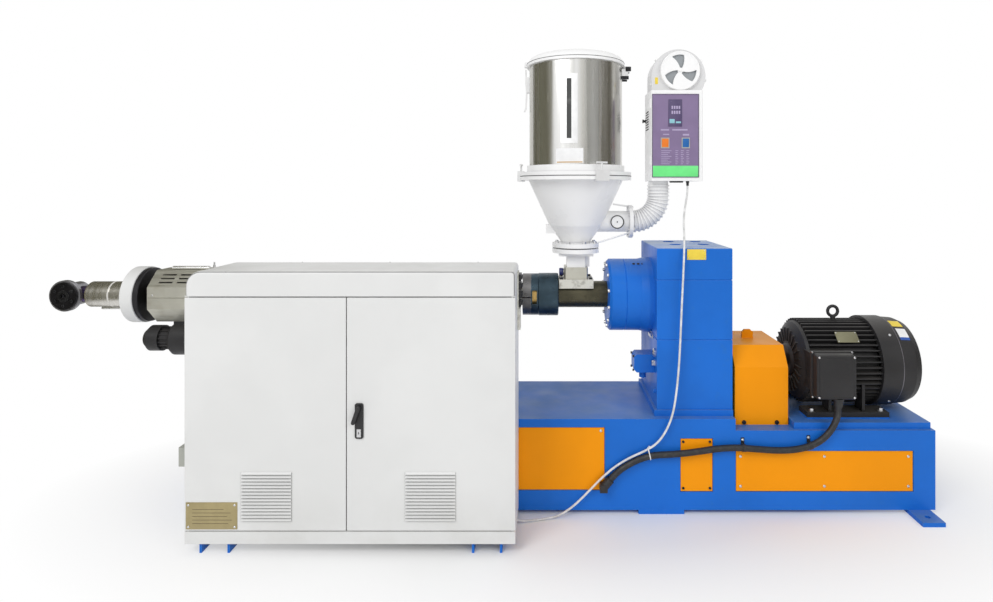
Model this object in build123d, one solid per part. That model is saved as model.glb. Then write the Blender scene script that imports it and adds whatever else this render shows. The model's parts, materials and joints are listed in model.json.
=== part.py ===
from build123d import *
import math
import os

# Single-screw plastic extruder with a hopper dryer, in millimetres.
# X runs along the screw from the die head (-X) to the drive motor (+X), +Y is the back, +Z is up.
# The origin is on the floor, under the feed throat and at the middle of the anchor bolts.

# Screw line
screw_height = 1000.0
throat_to_nut = 91.0
throat_to_thrust = 162.0

# Base
base_length = 3400.0
base_width = 566.0
foot_thickness = 20.0
base_top = 453.0
deck_drop = 55.0
panel_recess = 8.0
panel_thickness = 5.0
panel_gap = 3.0
foot_width = 104.0
foot_inset = 25.0
lug_reach = 112.0
anchor_inset = 62.0
anchor_hole_radius = 13.0
middle_foot_span = (286.0, 503.0)
panel_left_span = (-1596.0, 126.0)
panel_left_height = (113.0, 414.0)
panel_middle_span = (484.0, 641.0)
panel_middle_height = (106.0, 361.0)
panel_right_inset = 104.0
panel_right_height = (106.0, 302.0)

# Control cabinet
cabinet_left = -1686.0
cabinet_width = 1400.0
cabinet_depth = 314.0
cabinet_gap = 4.0
cabinet_bottom = 45.0
plinth_height = 52.0
cabinet_shoulder = 1093.0
hood_height = 107.0
hood_left_radius = 66.0
hood_right_radius = 18.0
hood_edge_radius = 14.0
sheet = 3.0
door_thickness = 20.0
door_gap = 5.0
door_split = -1001.0
door_clearance = 10.0
frame_flange = 26.0
hinge_edge = 12.0
hinge_depth = 8.0
hinge_pin_radius = 4.0
hinge_pin_length = 14.0
pin_clearance = 0.3
louver_count = 15
louver_width = 212.0
louver_pitch = 14.0
louver_lip = 1.5
louver_root = 3.0
louver_bottom = 145.0
louver_projection = 6.0
left_louver_center = -1339.0
right_louver_center = -645.0
support_thickness = 10.0
support_inset = 61.0
support_pitch = 119.0
support_front_inset = 12.0

# Swing handle on the right door
handle_plate_width = 36.0
handle_plate_height = 150.0
handle_plate_thickness = 6.0
handle_plate_top = 642.0
handle_offset = 52.5
handle_pivot_drop = 17.0
handle_length = 80.0
handle_width = 17.0
handle_thickness = 14.0
handle_round = 4.0
handle_plate_chamfer = 1.5
handle_tilt = 19.0
handle_boss_radius = 7.0
handle_clearance = 6.0

# Small relay box on the cabinet's left side
side_box_size = (46.0, 80.0, 82.0)
side_box_front = 4.0
side_box_bottom = 357.0

# Feed barrel, rings and thrust housing
feed_radius = 68.0
nut_radius = 109.5
nut_length = 104.0
nut_chamfer = 4.0
bush_radius = 88.0
ring_radius = 107.0
ring_slot_width = 36.0
ring_slot_height = 70.0
clamp_length = 44.0
clamp_split = 6.0
thrust_radius = 184.0
thrust_length = 220.0
thrust_flange = 12.0
thrust_flare = 8.0
thrust_seam = 0.37
thrust_flare_span = (60.0, 24.0)

# Gearbox
gearbox_length = 366.0
gearbox_width = 470.0
gearbox_crown = 261.0
gearbox_seams = (153.0, 443.0)
gearbox_foot = (14.0, 10.0, 28.0)
seam_depth = 3.0
lifting_hole_radius = 31.0
lifting_hole_depth = 26.0
lifting_hole_pitch = (147.0, 170.0)
lifting_hole_offset = 65.0
lifting_hole_shift = 25.0
pump_size = (98.0, 92.0, 90.0)
pump_rise = 48.5
pump_chamfer = 14.0
pump_center_y = -105.0
pump_fitting_radius = 17.0
pump_fitting_length = 34.0
input_height = 660.0
input_boss_radius = 90.0
input_boss_length = 14.0

# Barrel with its stainless cover
barrel_radius = 52.0
cover_across_flats = 265.0
cover_length = 1844.0
cover_wall = 3.0
cover_slot_size = (70.0, 9.0)
cover_slot_rows = 3
cover_slot_pitch = 24.0
cover_slot_groups = 2
cover_slot_start = 45.0
cover_slot_space = 22.0
cover_zones = 4
cover_end_gap = 37.0
stand_width = 130.0
stand_thickness = 90.0
stand_positions = (-1480.0, -640.0)
stand_foot = (240.0, 220.0, 16.0)
cover_tube_radius = 9.0
cover_tube_length = 190.0
cover_tube_start = 70.0

# Die head
flange_gap = 72.0
flange_radius = 138.0
flange_thickness = 24.0
collar_radius = 144.0
collar_length = 62.0
adapter_radius = 65.5
adapter_length = 247.0
neck_radius = 42.0
neck_length = 45.0
neck_taper = (8.0, 14.0)
adapter_groove = (0.52, 0.54, 0.56)
adapter_groove_depth = 3.0
flange_chamfer = 3.0
collar_chamfer = 2.0
crosshead_radius = 60.0
crosshead_length = 86.0
die_ring_radius = 80.0
die_ring_thickness = 22.0
die_ring_chamfer = 2.0
face_thickness = 6.0
face_chamfer = 3.0
face_radius = 71.0
wire_bore_radius = 11.0
head_tube_radius = 7.0
head_tube_start = 60.0

# Barrel cooling fan under the cover
fan_cap_radius = 66.0
fan_cap_length = 87.0
fan_body_radius = 52.0
fan_body_length = 55.0
fan_housing_radius = 86.0
fan_housing_length = 96.0
fan_duct_width = 80.0
fan_axis_drop = 96.5
fan_overhang = 83.0
fan_rib_count = 18
fan_rib_size = (4.0, 12.0)
fan_cap_taper = (26.0, 24.0)
fan_housing_taper = (16.0, 14.0)
fan_duct_start = 18.0

# Coupling guard and motor
guard_gap = 19.0
guard_length = 260.0
guard_width = 422.0
guard_height = 374.0
guard_chamfer = (62.0, 94.0)
guard_wall = 4.0
shaft_reach = 60.0
shaft_clearance = 10.0
guard_lug_size = (58.0, 12.0, 44.0)
guard_lug_chamfer = 14.0
motor_gap = 68.0
motor_shaft_height = 225.0
motor_bell_length = 54.0
motor_bell_profile = ((0.0, 0.42), (14.0, 0.48), (14.0, 0.86), (40.0, 1.08))
motor_bell_ratio = 1.12
motor_body_length = 341.0
motor_core_radius = 178.0
motor_fin_radius = 211.0
motor_fin_root = 4.0
motor_fin_count = 48
motor_fin_thickness = 6.0
motor_shaft_radius = 30.0
cowl_radius = 225.0
cowl_length = 210.0
cowl_end_radius = 181.0
cowl_band = 96.0
cowl_step = 5.0
cowl_taper = (44.0, 10.0)
cowl_round = (12.0, 24.0)
cowl_wall = 4.0
cowl_slot_count = 24
cowl_slot_middle = 118.0
cowl_slot_size = (9.0, 110.0)
slide_overhang = 10.0
slide_plate_width = 524.0
slide_plate_thickness = 30.0
slide_plate_gap = 8.0
motor_foot_size = (400.0, 100.0)
motor_foot_thickness = 24.0
motor_web_size = (14.0, 70.0)
motor_web_spread = 82.0
motor_web_top = 0.4
motor_foot_offset = 165.0
eyebolt_ring_radius = 26.0
eyebolt_wire_radius = 8.0
eyebolt_collar_radius = 18.0
eyebolt_shift = 26.0
eyebolt_shank = 14.0
eyebolt_shank_ratio = 1.6
terminal_width = 185.0
terminal_height = 208.0
terminal_front = 330.0
terminal_pad_face = 262.0
terminal_pad_inset = (10.0, 14.0)
terminal_corner = 12.0
terminal_edge = 5.0
terminal_offset = 21.0
terminal_fin_gap = 8.0
terminal_bottom = 560.0
terminal_sector = 30.0

# Hopper dryer
hopper_radius = 241.5
hopper_wall = 3.0
hopper_rise = 669.0
hopper_height = 512.0
lid_radius = 254.0
lid_rim_width = 20.0
lid_rim_height = 14.0
lid_dome = 66.0
lid_knuckle = math.radians(36.87)
lid_wall = 3.0
lid_ear_radius = 12.0
lid_ear_thickness = 10.0
lid_ear_clearance = 5.0
lid_ear_overlap = 6.0
keeper_rise = 2.0
seat_gap = 0.3
ring_flange_radius = 288.0
ring_flange_height = 40.0
ring_collar_radius = 254.0
ring_collar_height = 34.0
cone_bottom_radius = 75.0
cone_top_radius = 245.5
cone_waist = (138.0, 88.0)
cone_flange_radius = 121.5
cone_flange_thickness = 22.0
cone_flange_gap = 6.0
cone_neck = 4.0
cone_hatch_size = (95.0, 84.0, 44.0)
cone_hatch_reach = 155.0
cone_hatch_rise = 46.0
lid_hinge_reach = 272.0
lid_hinge_drop = 10.0
lid_hinge_pin_radius = 6.0
lid_hinge_width = 60.0
hinge_bracket_height = 46.0
hinge_plate_thickness = 6.0
hinge_plate_drop = 14.0
latch_width = 26.0
latch_length = 219.0
latch_stand = 14.0
latch_sink = 8.0
latch_base_span = (120.0, 40.0)
latch_waist = 70.0
latch_tip = 20.0
sight_rise = (102.0, 440.0)
sight_angles = (-20.2, -0.6)
sight_thickness = 4.0
sight_slot_rise = (126.0, 416.0)
sight_slot_angles = (-13.0, -7.6)
tbolt_angle = 23.0
tbolt_size = (68.0, 30.0, 28.0)
tbolt_count = 3
tbolt_rise = 34.0
tbolt_radius = 5.0
tbolt_handle = 58.0
throat_size = (94.0, 110.0)
throat_rise = 220.0
slide_box_size = (120.0, 132.0, 60.0)
saddle_size = (176.0, 150.0, 20.0)
saddle_rise = 86.0
saddle_skirt = 26.0
throat_plate_size = (176.0, 150.0, 16.0)
slide_box_chamfer = 6.0
slide_knob_chamfer = 5.0
throat_column = 24.0
slide_knob_radius = 17.0
slide_knob_length = 26.0

# Air inlet, ribbed elbow, heater box and blower
inlet_radius = 54.5
inlet_rise = 380.0
inlet_reach = 293.0
inlet_flange_radius = 86.0
inlet_flange_thickness = 18.0
dial_radius = 34.0
dial_x = 211.0
dial_proud = 7.0
elbow_radius = 52.0
elbow_rib_radius = 57.5
elbow_rib_width = 7.0
elbow_rib_pitch = 17.0
elbow_bend = 130.0
elbow_lead = 9.0
elbow_cuff = 14.0
heater_width = 264.0
heater_depth = 190.0
heater_height = 462.0
heater_rise = 590.0
heater_left = 379.0
heater_front = -91.0
heater_corner = 8.0
heater_panel_sides = (6.0, 22.0)
heater_panel_ends = (19.0, 21.0)
heater_panel_thickness = 3.0
volute_radius = 138.0
volute_offset = (146.0, 75.5)
blower_width = 130.0
blower_center_offset = (152.0, 102.0)
blower_edge = 6.0
blower_inlet_radius = 101.0
blower_inlet_depth = 16.0
blower_shutter_radius = 82.0
blower_shutter_count = 3
blower_shutter_angle = 46.0
blower_shutter_start = -114.0
shutter_hub = 14.0
blower_motor_radius = 70.0
blower_motor_length = 92.0
blower_motor_edge = 12.0

# Cables, each a hand-chosen route from its gland to where it enters the machine again
motor_cable_radius = 15.0
motor_cable_route = [
    (1226.0, -305.0, 522.0),
    (1226.0, -305.0, 482.0),
    (1206.0, -305.0, 428.0),
    (1166.0, -306.0, 376.0),
    (1108.0, -306.0, 338.0),
    (1034.0, -305.0, 317.0),
    (944.0, -305.0, 312.0),
    (846.0, -305.0, 319.0),
    (748.0, -305.0, 327.0),
    (652.0, -306.0, 322.0),
    (552.0, -306.0, 306.0),
    (450.0, -306.0, 295.0),
    (356.0, -306.0, 292.0),
    (284.0, -305.0, 272.0),
    (226.0, -305.0, 242.0),
    (182.0, -305.0, 212.0),
    (150.0, -305.0, 176.0),
]
heater_cable_radius = 5.0
# The hanging run gives its height as a share of the way from the base up to the heater box.
heater_hanging_run = [
    (572.0, -60.0, 0.979),
    (572.0, -60.0, 0.945),
    (558.0, -76.0, 0.898),
    (540.0, -116.0, 0.843),
    (526.0, -176.0, 0.799),
    (515.0, -236.0, 0.748),
    (507.0, -262.0, 0.669),
    (500.0, -266.0, 0.555),
    (494.0, -264.0, 0.432),
    (488.0, -265.0, 0.309),
    (480.0, -270.0, 0.203),
    (466.0, -282.0, 0.105),
    (446.0, -300.0, 0.026),
]
heater_floor_run = [
    (416.0, -306.0, 410.0),
    (374.0, -305.0, 356.0),
    (318.0, -304.0, 325.0),
    (240.0, -303.0, 286.0),
    (168.0, -302.0, 234.0),
    (98.0, -302.0, 172.0),
    (32.0, -304.0, 104.0),
    (-32.0, -310.0, 46.0),
    (-98.0, -322.0, 12.0),
    (-164.0, -336.0, 6.0),
    (-226.0, -350.0, 6.5),
    (-276.0, -362.0, 11.0),
    (-306.0, -369.0, 26.0),
    (-314.0, -371.0, 46.0),
    (-314.0, -371.0, 66.0),
]
gland_body_ratio = 1.35
gland_nut_ratio = 1.7
gland_nut_height = 10.0
entry_length = 50.0
entry_block = (36.0, 36.0)

# Derived positions
base_front = -base_width / 2
deck_low = base_top - deck_drop
thrust_left = throat_to_thrust
gearbox_left = thrust_left + thrust_length
gearbox_right = gearbox_left + gearbox_length
gearbox_top = screw_height + gearbox_crown
guard_left = gearbox_right + guard_gap
guard_right = guard_left + guard_length
motor_left = guard_right + motor_gap
motor_bell_right = motor_left + motor_bell_length
motor_body_right = motor_bell_right + motor_body_length
cowl_left = motor_body_right
slide_top = deck_low + slide_plate_thickness
rail_top = input_height - motor_shaft_height
motor_middle = motor_bell_right + motor_body_length / 2
cabinet_right = cabinet_left + cabinet_width
cabinet_back = base_front - cabinet_gap
cabinet_front = cabinet_back - cabinet_depth
carcass_front = cabinet_front + door_thickness + door_clearance
plinth_top = cabinet_bottom + plinth_height
door_bottom = plinth_top + door_gap
door_top = cabinet_shoulder - door_gap
hinge_y = cabinet_front + hinge_depth
left_hinge_x = cabinet_left + hinge_edge
right_hinge_x = cabinet_right - hinge_edge
hood_top = cabinet_shoulder + hood_height
nut_right = -throat_to_nut
nut_left = nut_right - nut_length
ring_left = nut_left - ring_slot_width
clamp_left = ring_left - clamp_length
cover_right = clamp_left - cover_end_gap
cover_left = cover_right - cover_length
flange_right = cover_left - flange_gap + flange_thickness
collar_right = flange_right - flange_thickness
collar_left = collar_right - collar_length
adapter_left = collar_left - adapter_length
crosshead_x = adapter_left - neck_length - math.sqrt(crosshead_radius ** 2 - neck_radius ** 2)
elbow_x = inlet_reach + elbow_bend + elbow_lead
saddle_top = screw_height + saddle_rise
throat_top = screw_height + throat_rise
hopper_bottom = screw_height + hopper_rise
hopper_top = hopper_bottom + hopper_height
lid_hinge_height = hopper_top - lid_hinge_drop
sight_height = [hopper_bottom + rise for rise in sight_rise]
sight_slot_height = [hopper_bottom + rise for rise in sight_slot_rise]
inlet_height = screw_height + inlet_rise
heater_bottom = screw_height + heater_rise
heater_top = heater_bottom + heater_height
cone_top = hopper_bottom - ring_collar_height - ring_flange_height
cone_bottom = throat_top + 2 * cone_flange_thickness + cone_flange_gap + cone_neck
cone_waist_z = cone_bottom + cone_waist[1]
heater_back = heater_front + heater_depth
thrust_underside = screw_height - thrust_radius - thrust_flare
pump_bottom = (base_top + thrust_underside) / 2 + pump_rise - pump_size[2] / 2
terminal_left = motor_left + terminal_offset
terminal_right = terminal_left + terminal_width
lug_edge = foot_inset + foot_width - base_length / 2
hang = heater_bottom - base_top
heater_cable_route = [(x, y, base_top + share * hang) for x, y, share in heater_hanging_run]
heater_cable_route += heater_floor_run


def block(x, y, z):
    """Box between two limits on each axis."""
    size = (x[1] - x[0], y[1] - y[0], z[1] - z[0])
    middle = ((x[0] + x[1]) / 2, (y[0] + y[1]) / 2, (z[0] + z[1]) / 2)
    return Pos(*middle) * Box(*size)


def bar_x(radius, x, y, z):
    """Round bar along X."""
    return Pos((x[0] + x[1]) / 2, y, z) * Rot(0, 90, 0) * Cylinder(radius, x[1] - x[0])


def bar_y(radius, x, y, z):
    """Round bar along Y."""
    return Pos(x, (y[0] + y[1]) / 2, z) * Rot(90, 0, 0) * Cylinder(radius, y[1] - y[0])


def bar_z(radius, x, y, z):
    """Round bar along Z."""
    return Pos(x, y, (z[0] + z[1]) / 2) * Cylinder(radius, z[1] - z[0])


def turned_x(points, height=screw_height):
    """Body turned about a level axis along X, from (x, radius) points."""
    face = Plane.XZ * make_face(Polyline(*points, close=True))
    return Pos(0, 0, height) * revolve(face, axis=Axis.X)


def turned_z(points, angle=360.0):
    """Body turned about the hopper axis, from (radius, z) points."""
    face = Plane.XZ * make_face(Polyline(*points, close=True))
    return revolve(face, axis=Axis.Z, revolution_arc=angle)


def sector(inner, outer, height, angles):
    """Curved strip on the hopper wall; angles are measured from the front, towards +X."""
    points = [(inner, height[0]), (outer, height[0]), (outer, height[1]), (inner, height[1])]
    return Rot(0, 0, angles[0] - 90) * turned_z(points, angles[1] - angles[0])


def prism_x(points, x):
    """Outline in (y, z) drawn along X."""
    face = make_face(Polyline(*[(x[0], p[0], p[1]) for p in points], close=True))
    return extrude(face, x[1] - x[0], dir=(1, 0, 0))


def prism_y(outline, y):
    """Flat outline in the XZ plane drawn along Y."""
    face = Plane.XZ.offset(-y[0]) * make_face(outline)
    return extrude(face, y[1] - y[0], dir=(0, 1, 0))


def octagon_points(across_flats):
    """Corners of an octagon about the screw axis, in (y, z)."""
    radius = across_flats / 2 / math.cos(math.pi / 8)
    corners = []
    for i in range(8):
        angle = math.pi / 8 + i * math.pi / 4
        corners.append((radius * math.cos(angle), screw_height + radius * math.sin(angle)))
    return corners


def panel_places():
    """Name, span along X and span along Z of each access panel in the base's front."""
    right_span = (gearbox_right, base_length / 2 - panel_right_inset)
    return [
        ("base_panel_left", panel_left_span, panel_left_height),
        ("base_panel_middle", panel_middle_span, panel_middle_height),
        ("base_panel_right", right_span, panel_right_height),
    ]


# Base
def make_base():
    half = base_length / 2
    outline = Polyline(
        (-half, foot_thickness),
        (half, foot_thickness),
        (half, deck_low),
        (gearbox_right, deck_low),
        (gearbox_right, base_top),
        (-half, base_top),
        close=True,
    )
    frame = prism_y(outline, (base_front, -base_front))
    pieces = {}
    for name, span, height in panel_places():
        frame -= block(span, (base_front, base_front + panel_recess), height)
        seat = base_front + panel_recess
        inner_span = (span[0] + panel_gap, span[1] - panel_gap)
        inner_height = (height[0] + panel_gap, height[1] - panel_gap)
        pieces[name] = block(inner_span, (seat - panel_thickness, seat), inner_height)
    pieces["base_frame"] = frame
    pieces["base_feet"] = make_feet()
    plate_span = (guard_right + slide_plate_gap, half - slide_overhang)
    plate = block(plate_span, (-slide_plate_width / 2, slide_plate_width / 2), (deck_low, slide_top))
    for side in (-1, 1):
        plate += motor_foot_block(side, (slide_top, rail_top))
    pieces["motor_slide_plate"] = plate
    return pieces


def motor_foot_block(side, height):
    """Footprint of the motor's foot on one side, drawn between two heights."""
    length, depth = motor_foot_size
    y = side * motor_foot_offset
    span = (motor_middle - length / 2, motor_middle + length / 2)
    return block(span, (y - depth / 2, y + depth / 2), height)


def make_feet():
    half = base_length / 2
    reach = base_width / 2 + lug_reach
    level = (0, foot_thickness)
    feet = [block(middle_foot_span, (base_front, -base_front), level)]
    anchor_x = half - foot_inset - foot_width / 2
    anchor_y = base_width / 2 + anchor_inset
    for side in (-1, 1):
        span = sorted((side * (half - foot_inset - foot_width), side * (half - foot_inset)))
        foot = block(span, (-reach, reach), level)
        for end in (-1, 1):
            foot -= bar_z(anchor_hole_radius, side * anchor_x, end * anchor_y, level)
        feet.append(foot)
    return Compound(children=feet + cabinet_supports())


# Control cabinet
def make_cabinet():
    pieces = {}
    level = (plinth_top, cabinet_shoulder)
    width = (cabinet_left, cabinet_right)
    inside = (cabinet_left + sheet, cabinet_right - sheet)
    pieces["cabinet_back"] = block(inside, (cabinet_back - sheet, cabinet_back), level)
    sides = []
    for outer, turn in ((cabinet_left, 1), (cabinet_right, -1)):
        wall = block(sorted((outer, outer + turn * sheet)), (carcass_front, cabinet_back), level)
        lip = sorted((outer, outer + turn * frame_flange))
        wall += block(lip, (carcass_front, carcass_front + sheet), level)
        sides.append(wall)
    pieces["cabinet_sides"] = Compound(children=sides)
    plinth = block(width, (cabinet_front, cabinet_back), (cabinet_bottom, plinth_top))
    plinth -= block(
        inside,
        (cabinet_front + sheet, cabinet_back - sheet),
        (cabinet_bottom, plinth_top - sheet),
    )
    pieces["cabinet_plinth"] = plinth
    pieces["door_hinge_pins"] = make_hinge_pins()
    pieces["cabinet_hood"] = make_hood()
    left_edge = door_split - door_gap / 2
    right_edge = door_split + door_gap / 2
    pieces["left_door"] = make_door(cabinet_left, left_edge, left_hinge_x, left_louver_center)
    pieces["right_door"] = make_door(right_edge, cabinet_right, right_hinge_x, right_louver_center)
    box_y = (carcass_front + side_box_front, carcass_front + side_box_front + side_box_size[1])
    pieces["cabinet_side_box"] = block(
        (cabinet_left - side_box_size[0], cabinet_left),
        box_y,
        (side_box_bottom, side_box_bottom + side_box_size[2]),
    )
    pieces.update(make_handle())
    return pieces


def hood_block(inset):
    """Rounded hood body, made smaller by a wall thickness on every side but the bottom."""
    left = cabinet_left + inset
    right = cabinet_right - inset
    top = hood_top - inset
    body = block((left, right), (cabinet_front + inset, cabinet_back - inset), (cabinet_shoulder, top))
    top_edges = body.edges().filter_by(Axis.Y).group_by(Axis.Z)[-1].sort_by(Axis.X)
    body = fillet(top_edges[0], hood_left_radius - inset)
    right_edge = body.edges().filter_by(Axis.Y).group_by(Axis.Z)[-1].sort_by(Axis.X)[-1]
    return fillet(right_edge, hood_right_radius - inset)


def make_hood():
    outer = hood_block(0.0)
    front_edges = outer.edges().filter_by(Axis.X).group_by(Axis.Z)[-1].sort_by(Axis.Y)
    outer = fillet(front_edges[0], hood_edge_radius)
    hood = outer - hood_block(sheet)
    lip = (cabinet_shoulder, cabinet_shoulder + sheet)
    return hood + block((cabinet_left, cabinet_right), (cabinet_front, carcass_front), lip)


def make_hinge_pins():
    pins = []
    low = (plinth_top, plinth_top + hinge_pin_length)
    high = (cabinet_shoulder - hinge_pin_length, cabinet_shoulder)
    for x in (left_hinge_x, right_hinge_x):
        for span in (low, high):
            pins.append(bar_z(hinge_pin_radius, x, hinge_y, span))
    return Compound(children=pins)


def make_door(left, right, hinge_x, louver_center):
    depth = (cabinet_front, cabinet_front + door_thickness)
    door = block((left, right), depth, (door_bottom, door_top))
    door -= block(
        (left + sheet, right - sheet),
        (depth[0] + sheet, depth[1]),
        (door_bottom + sheet, door_top - sheet),
    )
    door -= bar_z(hinge_pin_radius + pin_clearance, hinge_x, hinge_y, (door_bottom, door_top))
    span = (louver_center - louver_width / 2, louver_center + louver_width / 2)
    for i in range(louver_count):
        z = louver_bottom + i * louver_pitch
        door -= block(span, (depth[0], depth[0] + sheet), (z, z + louver_projection))
        wedge = [
            (depth[0], z + louver_projection),
            (depth[0] - louver_projection, z),
            (depth[0] - louver_projection, z + louver_lip),
            (depth[0], z + louver_projection + louver_root),
        ]
        door += prism_x(wedge, span)
    return door


def cabinet_supports():
    """Plates that carry the cabinet: welded to the base's front, or to the edge of an anchor lug there."""
    plates = []
    first = cabinet_left + support_inset
    last = cabinet_right - support_inset
    for x in (first, first + support_pitch, last - support_pitch, last):
        span = (x - support_thickness / 2, x + support_thickness / 2)
        back = base_front - lug_reach if x < lug_edge else base_front
        depth = (cabinet_front + support_front_inset, back)
        plates.append(block(span, depth, (0, cabinet_bottom)))
    return plates


def make_handle():
    x = door_split + door_gap / 2 + handle_offset
    pivot_z = handle_plate_top - handle_pivot_drop
    face = cabinet_front - handle_plate_thickness
    span = (x - handle_plate_width / 2, x + handle_plate_width / 2)
    level = (handle_plate_top - handle_plate_height, handle_plate_top)
    plate = block(span, (face, cabinet_front), level)
    plate = fillet(plate.edges().filter_by(Axis.Y), handle_plate_width / 4)
    plate = chamfer(plate.faces().sort_by(Axis.Y)[0].edges(), handle_plate_chamfer)
    lever_back = face - handle_clearance
    lever_front = lever_back - handle_thickness
    outline = Pos(0, -handle_length / 2 + handle_width / 2) * SlotOverall(handle_length, handle_width, 90)
    lever = extrude(Plane.XZ.offset(-lever_front) * outline, lever_back - lever_front, dir=(0, 1, 0))
    lever = fillet(lever.faces().sort_by(Axis.Y)[0].edges(), handle_round)
    lever = Pos(x, 0, pivot_z) * Rot(0, handle_tilt, 0) * lever
    lever += bar_y(handle_boss_radius, x, (lever_back, face - seat_gap), pivot_z)
    return {"handle_plate": plate, "door_handle": lever}


# Barrel line
def make_barrel_line():
    pieces = {}
    pieces["feed_barrel"] = bar_x(feed_radius, (nut_right, thrust_left), 0, screw_height)
    nut = bar_x(nut_radius, (nut_left, nut_right), 0, screw_height)
    nut = chamfer(nut.edges().filter_by(GeomType.CIRCLE), nut_chamfer)
    window_span = (ring_left, nut_left)
    ring = bar_x(ring_radius, window_span, 0, screw_height)
    ring -= bar_x(bush_radius + seat_gap, window_span, 0, screw_height)
    window = (screw_height - ring_slot_height / 2, screw_height + ring_slot_height / 2)
    inset = ring_slot_width / 6
    ring -= block((ring_left + inset, nut_left - inset), (-ring_radius, ring_radius), window)
    pieces["barrel_ring_nut"] = nut + ring
    pieces["brass_bush"] = bar_x(bush_radius, window_span, 0, screw_height)
    clamp_span = (clamp_left, ring_left)
    clamp = bar_x(ring_radius, clamp_span, 0, screw_height)
    clamp -= bar_x(barrel_radius + seat_gap, clamp_span, 0, screw_height)
    split = (screw_height - clamp_split / 2, screw_height + clamp_split / 2)
    clamp -= block(clamp_span, (-ring_radius, ring_radius), split)
    pieces["barrel_end_clamp"] = clamp
    pieces["screw_barrel"] = bar_x(barrel_radius, (flange_right, ring_left), 0, screw_height)
    pieces["barrel_cover"] = make_cover()
    pieces["barrel_stands"] = make_stands()
    return pieces


def make_cover():
    cover = prism_x(octagon_points(cover_across_flats), (cover_left, cover_right))
    inside = (cover_left + cover_wall, cover_right - cover_wall)
    cover -= prism_x(octagon_points(cover_across_flats - 2 * cover_wall), inside)
    cover -= bar_x(barrel_radius + seat_gap, (cover_left, cover_right), 0, screw_height)
    zone_length = cover_length / cover_zones
    slot_length, slot_height = cover_slot_size
    cutter = Box(slot_length, 4 * cover_wall, slot_height)
    for zone in range(cover_zones):
        for group in range(cover_slot_groups):
            x = cover_left + zone * zone_length + cover_slot_start
            x += slot_length / 2 + group * (slot_length + cover_slot_space)
            for row in range(cover_slot_rows):
                rise = (row - (cover_slot_rows - 1) / 2) * cover_slot_pitch
                for side in (45, -45):
                    place = Pos(x, 0, screw_height) * Rot(side, 0, 0)
                    offset = -cover_across_flats / 2 if side < 0 else cover_across_flats / 2
                    cover -= place * Pos(0, offset, rise) * cutter
    return cover


def make_stands():
    underside = screw_height - cover_across_flats / 2
    stands = []
    for x in stand_positions:
        foot_length, foot_depth, foot_height = stand_foot
        foot = block(
            (x - foot_length / 2, x + foot_length / 2),
            (-foot_depth / 2, foot_depth / 2),
            (base_top, base_top + foot_height),
        )
        post = block(
            (x - stand_thickness / 2, x + stand_thickness / 2),
            (-stand_width / 2, stand_width / 2),
            (base_top + foot_height, underside),
        )
        stands.append(foot + post)
    return Compound(children=stands)


def make_head():
    pieces = {}
    flange = bar_x(flange_radius, (collar_right, flange_right), 0, screw_height)
    rim = flange.edges().filter_by(GeomType.CIRCLE).sort_by(Axis.X)[-1]
    pieces["head_flange"] = chamfer(rim, flange_chamfer)
    collar = bar_x(collar_radius, (collar_left, collar_right), 0, screw_height)
    pieces["head_clamp"] = chamfer(collar.edges().filter_by(GeomType.CIRCLE), collar_chamfer)
    neck_left = adapter_left - neck_length
    groove = [adapter_left + share * adapter_length for share in adapter_groove]
    adapter = turned_x([
        (neck_left, 0),
        (neck_left, neck_radius),
        (adapter_left - neck_taper[0], neck_radius),
        (adapter_left + neck_taper[1], adapter_radius),
        (groove[0], adapter_radius),
        (groove[1], adapter_radius - adapter_groove_depth),
        (groove[2], adapter_radius),
        (collar_left, adapter_radius),
        (collar_left, 0),
    ])
    half = crosshead_length / 2
    adapter -= bar_y(crosshead_radius, crosshead_x, (-neck_radius - 1, neck_radius + 1), screw_height)
    pieces["head_adapter"] = adapter
    body = bar_y(crosshead_radius, crosshead_x, (-half, half), screw_height)
    ring_front = -half - die_ring_thickness
    ring = bar_y(die_ring_radius, crosshead_x, (ring_front, -half), screw_height)
    ring = chamfer(ring.edges().filter_by(GeomType.CIRCLE), die_ring_chamfer)
    face = bar_y(face_radius, crosshead_x, (ring_front - face_thickness, ring_front), screw_height)
    face = chamfer(face.edges().filter_by(GeomType.CIRCLE).sort_by(Axis.Y)[0], face_chamfer)
    bore = bar_y(wire_bore_radius, crosshead_x, (ring_front - face_thickness, half), screw_height)
    pieces["crosshead_body"] = body + ring - bore
    pieces["crosshead_face"] = face - bore
    tube = bar_x(
        head_tube_radius,
        (adapter_left + head_tube_start, collar_left),
        0,
        screw_height - adapter_radius - head_tube_radius - seat_gap,
    )
    pieces["sensor_tubes"] = Compound(children=[tube, make_cover_tube()])
    return pieces


def make_cover_tube():
    left = cover_left + cover_tube_start
    height = screw_height + cover_across_flats / 2 + cover_tube_radius + seat_gap
    return bar_x(cover_tube_radius, (left, left + cover_tube_length), -cover_across_flats / 8, height)


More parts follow.
